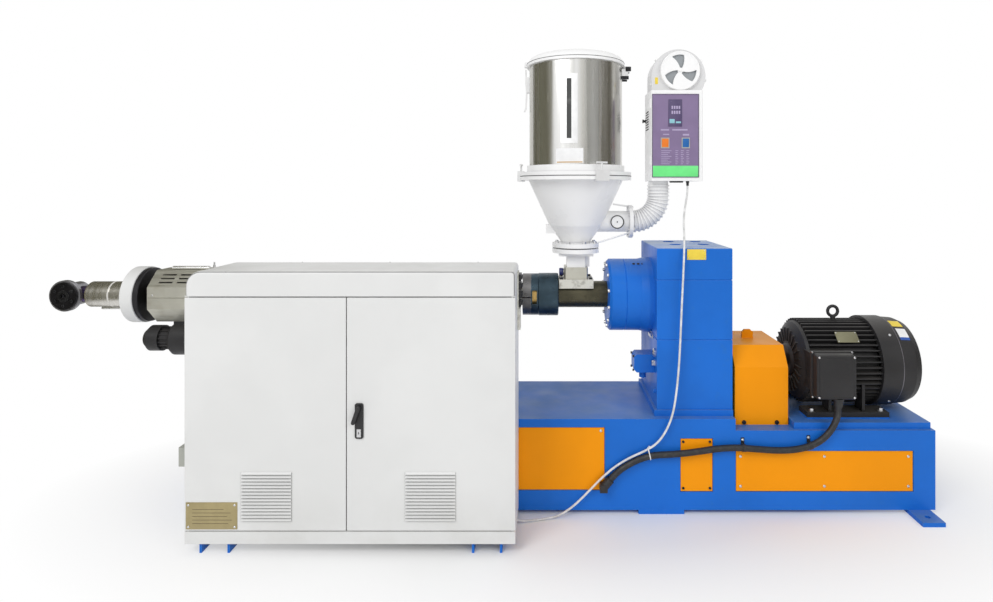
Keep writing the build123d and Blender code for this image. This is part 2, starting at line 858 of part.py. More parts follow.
def make_fan():
    left = cover_left - fan_overhang
    body_left = left + fan_cap_length
    housing_left = body_left + fan_body_length
    housing_right = housing_left + fan_housing_length
    height = screw_height - cover_across_flats / 2 - fan_axis_drop
    fan = turned_x(
        [
            (left, 0),
            (left, fan_cap_radius - fan_cap_taper[1]),
            (left + fan_cap_taper[0], fan_cap_radius),
            (body_left, fan_cap_radius),
            (body_left, fan_body_radius),
            (housing_left, fan_body_radius),
            (housing_left, fan_housing_radius - fan_housing_taper[1]),
            (housing_left + fan_housing_taper[0], fan_housing_radius),
            (housing_right, fan_housing_radius),
            (housing_right, 0),
        ],
        height,
    )
    rib_width, rib_height = fan_rib_size
    rib_middle = (fan_body_radius + fan_cap_radius - rib_height) / 2
    for i in range(fan_rib_count):
        turn = Pos((body_left + housing_left) / 2, 0, height) * Rot(360.0 * i / fan_rib_count, 0, 0)
        fan += turn * Pos(0, 0, rib_middle) * Box(fan_body_length, rib_width, rib_height)
    duct_depth = (-fan_duct_width / 2, fan_duct_width / 2)
    duct_span = (housing_left + fan_duct_start, housing_right)
    fan += block(duct_span, duct_depth, (height, screw_height - cover_across_flats / 2))
    return {"cooling_fan": fan}


# Gearbox and drive
def make_gearbox():
    pieces = {}
    half = gearbox_width / 2
    levels = [base_top, gearbox_top - gearbox_seams[1], gearbox_top - gearbox_seams[0], gearbox_top]
    castings = []
    for low, high in zip(levels, levels[1:]):
        casting = block((gearbox_left, gearbox_right), (-half, half), (low, high))
        castings.append(chamfer(casting.edges().filter_by(Plane.XY), seam_depth))
    ledge, apron, thickness = gearbox_foot
    foot = block(
        (gearbox_left - ledge, gearbox_right),
        (-half - apron, half + apron),
        (base_top, base_top + thickness),
    )
    pieces["gearbox_housing"] = castings[0] + castings[1] + foot
    pieces["gearbox_cover"] = castings[2]
    middle_x = (gearbox_left + gearbox_right) / 2 + lifting_hole_shift
    pitch_x, pitch_y = lifting_hole_pitch
    for dx in (-pitch_x / 2, pitch_x / 2):
        for dy in (-pitch_y / 2, pitch_y / 2):
            hole = bar_z(
                lifting_hole_radius,
                middle_x + dx,
                lifting_hole_offset + dy,
                (gearbox_top - lifting_hole_depth, gearbox_top),
            )
            pieces["gearbox_cover"] -= hole
    boss = bar_x(input_boss_radius, (gearbox_right, gearbox_right + input_boss_length), 0, input_height)
    shaft = bar_x(motor_shaft_radius, (gearbox_right, guard_left + shaft_reach), 0, input_height)
    pieces["gearbox_housing"] += boss + shaft
    pieces["thrust_housing"] = make_thrust_housing()
    pump_length, pump_depth, pump_height = pump_size
    pump_y = (pump_center_y - pump_depth / 2, pump_center_y + pump_depth / 2)
    pump_x = (gearbox_left - pump_length, gearbox_left)
    pump = block(pump_x, pump_y, (pump_bottom, pump_bottom + pump_height))
    pump = chamfer(pump.edges().filter_by(Axis.Y).sort_by(Axis.X)[0:2], pump_chamfer)
    fitting_z = (pump_bottom - pump_fitting_length, pump_bottom)
    pump += bar_z(pump_fitting_radius, gearbox_left - pump_length / 2, pump_center_y, fitting_z)
    pieces["oil_pump"] = pump
    return pieces


def make_thrust_housing():
    seam = thrust_left + thrust_length * thrust_seam
    housing = turned_x([
        (thrust_left, 0),
        (thrust_left, thrust_radius - thrust_flange),
        (thrust_left + thrust_flange, thrust_radius),
        (seam, thrust_radius),
        (seam + seam_depth, thrust_radius - seam_depth),
        (seam + 2 * seam_depth, thrust_radius),
        (gearbox_left - thrust_flare_span[0], thrust_radius),
        (gearbox_left - thrust_flare_span[1], thrust_radius + thrust_flare),
        (gearbox_left, thrust_radius + thrust_flare),
        (gearbox_left, 0),
    ])
    return housing


def guard_outline(inset):
    half = guard_width / 2 - inset
    top = deck_low + guard_height - inset
    side, rise = guard_chamfer
    return [
        (-half, deck_low),
        (-half, top - rise),
        (-half + side, top),
        (half - side, top),
        (half, top - rise),
        (half, deck_low),
    ]


def make_guard():
    guard = prism_x(guard_outline(0.0), (guard_left, guard_right))
    guard -= prism_x(guard_outline(guard_wall), (guard_left + guard_wall, guard_right - guard_wall))
    guard -= bar_x(motor_shaft_radius + shaft_clearance, (guard_left, guard_right), 0, input_height)
    length, thickness, height = guard_lug_size
    top = deck_low + guard_height
    middle = (guard_left + guard_right) / 2
    lug = block(
        (middle - length / 2, middle + length / 2),
        (-thickness / 2, thickness / 2),
        (top, top + height),
    )
    lug = chamfer(lug.edges().filter_by(Axis.Y).group_by(Axis.Z)[-1], guard_lug_chamfer)
    return guard + lug


def make_motor():
    pieces = {}
    bell = [(motor_left + dx, ratio * motor_core_radius) for dx, ratio in motor_bell_profile]
    body = turned_x(
        [
            (guard_right - shaft_reach, 0),
            (guard_right - shaft_reach, motor_shaft_radius),
            (motor_left, motor_shaft_radius),
            *bell,
            (motor_bell_right, motor_bell_ratio * motor_core_radius),
            (motor_bell_right, motor_core_radius),
            (motor_body_right, motor_core_radius),
            (motor_body_right, 0),
        ],
        input_height,
    )
    fin_height = motor_fin_radius - motor_core_radius + motor_fin_root
    for i in range(motor_fin_count):
        angle = 360.0 * (i + 0.5) / motor_fin_count
        behind_box = abs(angle - 90.0) < terminal_sector
        fin_left = terminal_right + terminal_fin_gap if behind_box else motor_bell_right
        fin = Box(motor_body_right - fin_left, motor_fin_thickness, fin_height)
        turn = Pos((fin_left + motor_body_right) / 2, 0, input_height) * Rot(angle, 0, 0)
        body += turn * Pos(0, 0, motor_fin_radius - fin_height / 2) * fin
    pad_x = (terminal_left + terminal_pad_inset[0], terminal_right - terminal_pad_inset[0])
    box_z = (terminal_bottom, terminal_bottom + terminal_height)
    pad_z = (box_z[0] + terminal_pad_inset[1], box_z[1] - terminal_pad_inset[1])
    body += block(pad_x, (-terminal_pad_face, -motor_core_radius / 2), pad_z)
    body += make_motor_feet()
    eyebolt_x = motor_middle + eyebolt_shift
    crown = input_height + motor_fin_radius
    body += bar_z(eyebolt_collar_radius, eyebolt_x, 0, (input_height, crown))
    pieces["motor_body"] = body
    pieces["motor_eyebolt"] = make_eyebolt(eyebolt_x, crown)
    pieces["motor_cowl"] = make_cowl()
    box = block((terminal_left, terminal_right), (-terminal_front, -terminal_pad_face), box_z)
    box = fillet(box.edges().filter_by(Axis.Y), terminal_corner)
    pieces["terminal_box"] = chamfer(box.faces().sort_by(Axis.Y)[0].edges(), terminal_edge)
    pieces["coupling_guard"] = make_guard()
    return pieces


def make_motor_feet():
    """Foot plates with two webs each, up to the motor's core."""
    foot_top = rail_top + motor_foot_thickness
    web_thickness, web_depth = motor_web_size
    web_height = (foot_top, input_height - motor_web_top * motor_core_radius)
    feet = []
    for side in (-1, 1):
        y = side * motor_foot_offset
        foot = motor_foot_block(side, (rail_top, foot_top))
        for end in (-1, 1):
            web_x = motor_middle + end * motor_web_spread
            web_span = (web_x - web_thickness / 2, web_x + web_thickness / 2)
            foot += block(web_span, (y - web_depth / 2, y + web_depth / 2), web_height)
        feet.append(foot)
    return feet


def make_eyebolt(x, crown):
    """Lifting eye screwed into the motor's crown."""
    ring_z = crown + eyebolt_shank + eyebolt_ring_radius
    ring = Pos(x, 0, ring_z) * Rot(90, 0, 0) * Torus(eyebolt_ring_radius, eyebolt_wire_radius)
    shank_radius = eyebolt_wire_radius * eyebolt_shank_ratio
    return ring + bar_z(shank_radius, x, 0, (crown, crown + eyebolt_shank))


def make_cowl():
    right = cowl_left + cowl_length
    band = cowl_left + cowl_band
    lip_radius = (motor_core_radius + motor_fin_radius) / 2
    skin = [
        (band, cowl_radius - cowl_step),
        (right - cowl_taper[0], cowl_radius - cowl_taper[1]),
        (right - cowl_round[0], cowl_radius - cowl_round[1]),
    ]
    inside = [(x - cowl_wall, radius - cowl_wall) for x, radius in reversed(skin)]
    cowl = turned_x(
        [
            (cowl_left, lip_radius),
            (cowl_left, cowl_radius),
            (band, cowl_radius),
            *skin,
            (right, cowl_end_radius),
            (right, 0),
            (right - cowl_wall, 0),
            (right - cowl_wall, cowl_end_radius - cowl_wall),
            *inside,
            (cowl_left + cowl_wall, cowl_radius - cowl_step - cowl_wall),
            (cowl_left + cowl_wall, lip_radius),
        ],
        input_height,
    )
    slot_width, slot_length = cowl_slot_size
    for i in range(cowl_slot_count):
        turn = Pos(right, 0, input_height) * Rot(360.0 * i / cowl_slot_count, 0, 0)
        cowl -= turn * Pos(0, 0, cowl_slot_middle) * Box(4 * cowl_wall, slot_width, slot_length)
    return cowl


# Hopper dryer
def cone_body(grow):
    """Outer body of the hopper cone, grown by a clearance."""
    return turned_z([
        (0, cone_bottom),
        (cone_bottom_radius + grow, cone_bottom),
        (cone_waist[0] + grow, cone_waist_z),
        (cone_top_radius + grow, cone_top),
        (0, cone_top),
    ])


def make_hopper():
    pieces = {}
    inner = hopper_radius - hopper_wall
    pieces["hopper_barrel"] = turned_z([
        (inner, hopper_bottom),
        (hopper_radius, hopper_bottom),
        (hopper_radius, hopper_top),
        (inner, hopper_top),
    ])
    pieces["hopper_ring"] = turned_z([
        (inner, cone_top),
        (ring_flange_radius, cone_top),
        (ring_flange_radius, cone_top + ring_flange_height),
        (ring_collar_radius, cone_top + ring_flange_height),
        (ring_collar_radius, hopper_bottom),
        (inner, hopper_bottom),
    ])
    outlet = cone_bottom_radius - hopper_wall
    lower = throat_top + cone_flange_thickness
    upper = lower + cone_flange_gap
    pieces["hopper_cone"] = turned_z([
        (outlet, throat_top),
        (cone_flange_radius, throat_top),
        (cone_flange_radius, lower),
        (cone_bottom_radius, lower),
        (cone_bottom_radius, upper),
        (cone_flange_radius, upper),
        (cone_flange_radius, upper + cone_flange_thickness),
        (cone_bottom_radius, upper + cone_flange_thickness),
        (cone_bottom_radius, cone_bottom),
        (cone_waist[0], cone_waist_z),
        (cone_top_radius, cone_top),
        (cone_top_radius - hopper_wall, cone_top),
        (cone_waist[0] - hopper_wall, cone_waist_z),
        (outlet, cone_bottom),
    ])
    pieces["hopper_lid"] = make_lid()
    pieces["hopper_hinge"] = make_lid_hinge()
    shell = hopper_radius + seat_gap
    frame = sector(shell, shell + sight_thickness, sight_height, sight_angles)
    frame -= sector(shell - 1.0, shell + 2 * sight_thickness, sight_slot_height, sight_slot_angles)
    pieces["hopper_sight_frame"] = frame
    glass = sector(shell, shell + sight_thickness / 2, sight_slot_height, sight_slot_angles)
    pieces["hopper_sight_glass"] = glass
    pieces["hopper_clamps"] = make_clamps()
    length, depth, height = cone_hatch_size
    hatch = block(
        (-cone_hatch_reach, length - cone_hatch_reach),
        (-depth / 2, depth / 2),
        (cone_bottom + cone_hatch_rise, cone_bottom + cone_hatch_rise + height),
    )
    pieces["cone_hatch"] = hatch - cone_body(seat_gap)
    pieces.update(make_throat())
    return pieces


def dome_arcs(radius, rise, base):
    """Section of a dished dome: a knuckle arc up from the rim, then a crown arc about the hopper's axis."""
    edge = radius * math.cos(lid_knuckle)
    shoulder = rise * math.sin(lid_knuckle)
    drop = rise - shoulder
    sphere = (edge ** 2 + drop ** 2) / (2 * drop)
    middle = base + rise - sphere + math.sqrt(sphere ** 2 - edge ** 2 / 4)
    bend = (radius * math.cos(lid_knuckle / 2), base + rise * math.sin(lid_knuckle / 2))
    dome = ThreePointArc((radius, base), bend, (edge, base + shoulder))
    return dome + ThreePointArc((edge, base + shoulder), (edge / 2, middle), (0, base + rise))


def make_lid():
    bottom = hopper_top + seat_gap
    rim_top = bottom + lid_rim_height
    rim = lid_radius - lid_rim_width
    crown = rim_top + lid_dome
    outline = Polyline((rim, rim_top), (rim, bottom), (lid_radius, bottom), (lid_radius, rim_top))
    outline += dome_arcs(lid_radius, lid_dome, rim_top)
    outline += Line((0, crown), (0, crown - lid_wall))
    outline += dome_arcs(rim, lid_dome - lid_wall, rim_top)
    lid = revolve(Plane.XZ * make_face(outline), axis=Axis.Z)
    ear_half = lid_hinge_width / 2 - lid_ear_thickness - lid_ear_clearance
    ear = bar_y(lid_ear_radius, lid_hinge_reach, (-ear_half, ear_half), lid_hinge_height)
    ear_span = (lid_radius - lid_ear_overlap, lid_hinge_reach + lid_ear_radius)
    ear += block(ear_span, (-ear_half, ear_half), (lid_hinge_height, bottom + lid_rim_height / 2))
    bore = lid_hinge_pin_radius + pin_clearance
    ear -= bar_y(bore, lid_hinge_reach, (-ear_half, ear_half), lid_hinge_height)
    ear -= bar_z(rim + lid_ear_overlap, 0, 0, (lid_hinge_height, rim_top))
    keeper = block(
        (-lid_radius - latch_width / 2, -lid_radius + lid_ear_overlap),
        (-latch_width / 2, latch_width / 2),
        (bottom + keeper_rise, bottom + keeper_rise + latch_width),
    )
    keeper -= bar_z(rim + lid_ear_overlap, 0, 0, (bottom, rim_top))
    return lid + ear + keeper


def make_lid_hinge():
    shell = hopper_radius + seat_gap
    outer = lid_hinge_width / 2
    bracket = bar_y(lid_hinge_pin_radius, lid_hinge_reach, (-outer, outer), lid_hinge_height)
    for side in (-1, 1):
        y = sorted((side * outer, side * (outer - lid_ear_thickness)))
        bracket += bar_y(lid_ear_radius, lid_hinge_reach, y, lid_hinge_height)
        span = (hopper_radius - lid_ear_overlap, lid_hinge_reach)
        bracket += block(span, y, (lid_hinge_height - hinge_bracket_height, lid_hinge_height))
    back = (hopper_radius - lid_ear_overlap, hopper_radius + hinge_plate_thickness)
    plate_top = lid_hinge_height - hinge_plate_drop
    bracket += block(back, (-outer, outer), (lid_hinge_height - hinge_bracket_height, plate_top))
    return bracket - bar_z(shell, 0, 0, (lid_hinge_height - 2 * hinge_bracket_height, hopper_top))


def make_latch():
    """Toggle latch below the lid's keeper: a base on the wall and a curved lever."""
    half = latch_width / 2
    top = lid_hinge_height
    bottom = top - latch_length
    wall = -hopper_radius
    stand = wall - latch_stand
    waist = top - latch_base_span[0]
    base = block(
        (stand, wall + latch_sink),
        (-half, half),
        (waist, top - latch_base_span[1]),
    )
    base -= bar_z(hopper_radius + seat_gap, 0, 0, (bottom, top))
    lever = Polyline(
        (stand, top),
        (stand - latch_sink, top),
        (stand - latch_sink, top - latch_waist),
        (stand - latch_sink / 2, waist),
        (stand - latch_sink, bottom + latch_tip),
        (stand - 2 * latch_sink, bottom),
        (stand - latch_sink, bottom),
        (stand, bottom + latch_tip),
        (stand + latch_sink / 2, waist),
        (stand, top - latch_waist),
        close=True,
    )
    return base + prism_y(lever, (-half / 2, half / 2))


def make_clamps():
    width, reach, jaw = tbolt_size
    flange_top = cone_top + ring_flange_height
    outer = ring_flange_radius + reach / 2
    inner = ring_flange_radius - reach / 2
    clamps = []
    for i in range(tbolt_count):
        clamp = block(
            (-width / 2, width / 2),
            (-outer, -inner),
            (cone_top - jaw / 4, flange_top + jaw / 4),
        )
        clamp -= bar_z(ring_flange_radius + seat_gap, 0, 0, (cone_top - seat_gap, flange_top + seat_gap))
        bolt_top = flange_top + jaw / 4 + tbolt_rise
        y = -ring_flange_radius
        clamp += bar_z(tbolt_radius, 0, y, (flange_top + jaw / 4, bolt_top))
        clamp += bar_x(tbolt_radius, (-tbolt_handle / 2, tbolt_handle / 2), y, bolt_top)
        clamps.append(Rot(0, 0, tbolt_angle + 360.0 * i / tbolt_count) * clamp)
    return Compound(children=clamps + [make_latch()])


def make_throat():
    width, depth = throat_size
    box_width, box_depth, box_height = slide_box_size
    saddle_width, saddle_depth, saddle_height = saddle_size
    box_top = saddle_top + box_height
    plate_width, plate_depth, plate_height = throat_plate_size
    plate_bottom = throat_top - plate_height
    chute = block((-width / 2, width / 2), (-depth / 2, depth / 2), (box_top, plate_bottom))
    chute += block(
        (-plate_width / 2, plate_width / 2),
        (-plate_depth / 2, plate_depth / 2),
        (plate_bottom, throat_top),
    )
    column = (width / 2, width / 2 + throat_column)
    chute += block(column, (-throat_column, throat_column), (box_top, plate_bottom))
    box = block((-box_width / 2, box_width / 2), (-box_depth / 2, box_depth / 2), (saddle_top, box_top))
    box = chamfer(box.edges().filter_by(Axis.Z), slide_box_chamfer)
    knob_x = (-box_width / 2 - slide_knob_length, -box_width / 2)
    knob = bar_x(slide_knob_radius, knob_x, 0, saddle_top + box_height / 2)
    knob = chamfer(knob.edges().filter_by(GeomType.CIRCLE).sort_by(Axis.X)[0], slide_knob_chamfer)
    saddle = block(
        (-saddle_width / 2, saddle_width / 2),
        (-saddle_depth / 2, saddle_depth / 2),
        (saddle_top - saddle_height - saddle_skirt, saddle_top),
    )
    saddle -= bar_x(feed_radius + seat_gap, (-saddle_width, saddle_width), 0, screw_height)
    return {
        "throat_chute": chute,
        "throat_slide_box": box + knob,
        "throat_saddle": saddle,
    }


# Hot air supply
def make_air_supply():
    pieces = {}
    flange_span = (inlet_reach - inlet_flange_thickness, inlet_reach)
    inlet = bar_x(inlet_radius, (cone_bottom_radius, flange_span[0]), 0, inlet_height)
    inlet += bar_y(dial_radius, dial_x, (-inlet_radius - dial_proud, 0), inlet_height)
    inlet -= cone_body(seat_gap)
    inlet += bar_x(inlet_flange_radius, flange_span, 0, inlet_height)
    pieces["air_inlet"] = inlet
    pieces["air_elbow"] = make_elbow()
    width = (heater_left, heater_left + heater_width)
    box = block(width, (heater_front, heater_back), (heater_bottom, heater_top))
    pieces["heater_box"] = fillet(box.edges().filter_by(Axis.Z), heater_corner)
    pieces["heater_panel"] = block(
        (width[0] + heater_panel_sides[0], width[1] - heater_panel_sides[1]),
        (heater_front - heater_panel_thickness, heater_front),
        (heater_bottom + heater_panel_ends[0], heater_top - heater_panel_ends[1]),
    )
    pieces.update(make_blower())
    return pieces


def make_elbow():
    start = Vector(inlet_reach, 0, inlet_height)
    corner = Vector(elbow_x, 0, inlet_height)
    end = Vector(elbow_x, 0, heater_bottom)
    path = FilletPolyline(start, corner, end, radius=elbow_bend)
    elbow = sweep(Plane(start, z_dir=(1, 0, 0)) * Circle(elbow_radius), path=path)
    count = int((path.length - 2 * elbow_cuff) / elbow_rib_pitch)
    for i in range(count + 1):
        station = (elbow_cuff + i * elbow_rib_pitch) / path.length
        seat = Plane(path @ station, z_dir=path % station)
        elbow += seat * Cylinder(elbow_rib_radius, elbow_rib_width)
    return elbow


def make_blower():
    center_x = heater_left + blower_center_offset[0]
    center_z = heater_top + blower_center_offset[1]
    half = blower_width / 2
    volute_x = heater_left + volute_offset[0]
    volute_z = heater_top + volute_offset[1]
    volute = bar_y(volute_radius, volute_x, (-half, half), volute_z)
    volute += block((volute_x - volute_radius, volute_x), (-half, half), (heater_top, volute_z))
    volute -= block(
        (volute_x - volute_radius, volute_x + volute_radius),
        (-half, half),
        (volute_z - 2 * volute_radius, heater_top),
    )
    inlet = bar_y(blower_inlet_radius, center_x, (-half - blower_inlet_depth, -half), center_z)
    inlet = fillet(inlet.edges().filter_by(GeomType.CIRCLE).sort_by(Axis.Y)[0], blower_edge)
    window = make_face(Polyline(
        (shutter_hub, -half - 2 * blower_inlet_depth),
        (blower_shutter_radius, -half - 2 * blower_inlet_depth),
        (blower_shutter_radius, -half - blower_inlet_depth / 3),
        (shutter_hub, -half - blower_inlet_depth / 3),
        close=True,
    ))
    window = revolve(window, axis=Axis.Y, revolution_arc=blower_shutter_angle)
    for i in range(blower_shutter_count):
        turn = blower_shutter_start + 360.0 * i / blower_shutter_count
        inlet -= Pos(center_x, 0, center_z) * Rot(0, turn, 0) * window
    motor = bar_y(blower_motor_radius, center_x, (half, half + blower_motor_length), center_z)
    motor = fillet(motor.edges().filter_by(GeomType.CIRCLE).sort_by(Axis.Y)[-1], blower_motor_edge)
    return {"blower_housing": volute + motor, "blower_inlet": inlet}


# Cables and glands
def corner_radii(route):
    """Largest arc that fits each corner of a route within 0.45 of its shorter run."""
    radii = []
    for before, point, after in zip(route, route[1:], route[2:]):
        run_in = Vector(point) - Vector(before)
        run_out = Vector(after) - Vector(point)
        half_turn = math.radians(run_in.get_angle(run_out)) / 2
        radii.append(0.45 * min(run_in.length, run_out.length) / math.tan(half_turn))
    return radii


def make_cable(name, route, radius):
    radii = corner_radii(route)
    path = FilletPolyline(*route, radius=radii)
    start = Plane(route[0], z_dir=Vector(route[1]) - Vector(route[0]))
    cable = sweep(start * Circle(radius), path=path)
    share = cable.volume / (math.pi * radius ** 2 * path.length)
    print(f"{name}: length {path.length:.0f}, tightest bend {min(radii):.0f}, volume share {share:.4f}")
    return cable


def make_gland(radius, end, seat):
    """Upright gland from a cable's end to the sheet that it is screwed into."""
    nut = radius * gland_nut_ratio
    low, high = sorted((end[2], seat))
    gland = bar_z(radius * gland_body_ratio, end[0], end[1], (low, high))
    nut_z = (seat - gland_nut_height, seat) if seat == high else (seat, seat + gland_nut_height)
    return gland + bar_z(nut, end[0], end[1], nut_z)


def make_cables():
    end = Vector(motor_cable_route[-1])
    direction = (end - Vector(motor_cable_route[-2])).normalized()
    seat = end + direction * entry_length
    sleeve = Plane(end + direction * (entry_length / 2), z_dir=direction)
    entry = sleeve * Cylinder(motor_cable_radius * gland_body_ratio, entry_length)
    width, height = entry_block
    entry += block(
        (seat.X - width / 2, seat.X + width / 2),
        (end.Y - motor_cable_radius * gland_body_ratio, base_front),
        (seat.Z - height / 2, seat.Z + height / 2),
    )
    glands = [
        entry,
        make_gland(motor_cable_radius, motor_cable_route[0], terminal_bottom),
        make_gland(heater_cable_radius, heater_cable_route[0], heater_bottom),
        make_gland(heater_cable_radius, heater_cable_route[-1], plinth_top - sheet),
    ]
    return {
        "motor_cable": make_cable("motor cable", motor_cable_route, motor_cable_radius),
        "heater_cable": make_cable("heater cable", heater_cable_route, heater_cable_radius),
        "cable_glands": Compound(children=glands),
    }


def main():
    os.makedirs("parts", exist_ok=True)
    pieces = {}
    pieces.update(make_base())
    pieces.update(make_cabinet())
    pieces.update(make_barrel_line())
    pieces.update(make_head())
    pieces.update(make_fan())
    pieces.update(make_gearbox())
    pieces.update(make_motor())
    pieces.update(make_hopper())
    pieces.update(make_air_supply())
    pieces.update(make_cables())
    for name, shape in pieces.items():
        export_step(shape, f"parts/{name}.step")
    print(len(pieces), "nodes")


main()
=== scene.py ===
import json
import math

import bmesh
import bpy
from mathutils import Matrix, Vector


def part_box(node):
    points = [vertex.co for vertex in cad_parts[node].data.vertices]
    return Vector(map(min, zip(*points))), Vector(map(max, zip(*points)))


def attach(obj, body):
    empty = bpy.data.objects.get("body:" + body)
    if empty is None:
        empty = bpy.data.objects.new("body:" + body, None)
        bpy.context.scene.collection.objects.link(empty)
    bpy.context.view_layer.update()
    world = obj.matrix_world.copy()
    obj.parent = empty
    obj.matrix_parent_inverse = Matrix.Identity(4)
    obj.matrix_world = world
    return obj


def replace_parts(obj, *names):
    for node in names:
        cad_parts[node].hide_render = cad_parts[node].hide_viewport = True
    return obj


# Single-screw plastic extruder with a hopper dryer. Pieces are worked out in millimetres, in the part frame:
# X along the screw towards the motor, -Y the front, Z up, with the floor at z = 0.

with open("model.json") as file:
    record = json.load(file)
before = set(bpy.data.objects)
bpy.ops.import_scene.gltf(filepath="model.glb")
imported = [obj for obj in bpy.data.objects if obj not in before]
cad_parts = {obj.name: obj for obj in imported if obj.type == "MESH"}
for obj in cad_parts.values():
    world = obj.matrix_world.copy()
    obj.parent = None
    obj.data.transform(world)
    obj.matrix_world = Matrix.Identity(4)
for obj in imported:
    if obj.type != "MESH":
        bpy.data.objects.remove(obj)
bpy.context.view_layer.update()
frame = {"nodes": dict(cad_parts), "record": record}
nodes = frame["nodes"]
MM = 0.001

# Camera, in metres, and the photograph's frame in pixels
camera_place = (-0.160, -3.141, 1.544)
photo_width = 993.0
photo_height = 602.0
focal_pixels = 600.0
vanishing_point = (545.0, 190.0)
sensor_width = 36.0

# Paint and metal colours, linear
BLUE = (0.011, 0.152, 0.620)
ORANGE = (0.950, 0.330, 0.003)
WHITE = (0.765, 0.768, 0.760)
HOPPER_WHITE = (0.910, 0.910, 0.910)
STEEL = (0.780, 0.778, 0.765)
WARM_STEEL = (0.520, 0.510, 0.445)
OILY_STEEL = (0.075, 0.068, 0.042)
BLUED_STEEL = (0.036, 0.062, 0.082)
HEAD_STEEL = (0.030, 0.029, 0.032)
BRASS = (0.560, 0.370, 0.130)
CHARCOAL = (0.026, 0.025, 0.026)
PURPLE = (0.225, 0.165, 0.300)
GREEN = (0.160, 0.820, 0.240)
YELLOW = (0.850, 0.640, 0.060)
GREY_BOX = (0.430, 0.440, 0.400)
SADDLE = (0.700, 0.690, 0.620)
BLACK = (0.016, 0.016, 0.017)


def place_object(name, data):
    """A new object in the scene."""
    made = bpy.data.objects.new(name, data)
    bpy.context.scene.collection.objects.link(made)
    return made


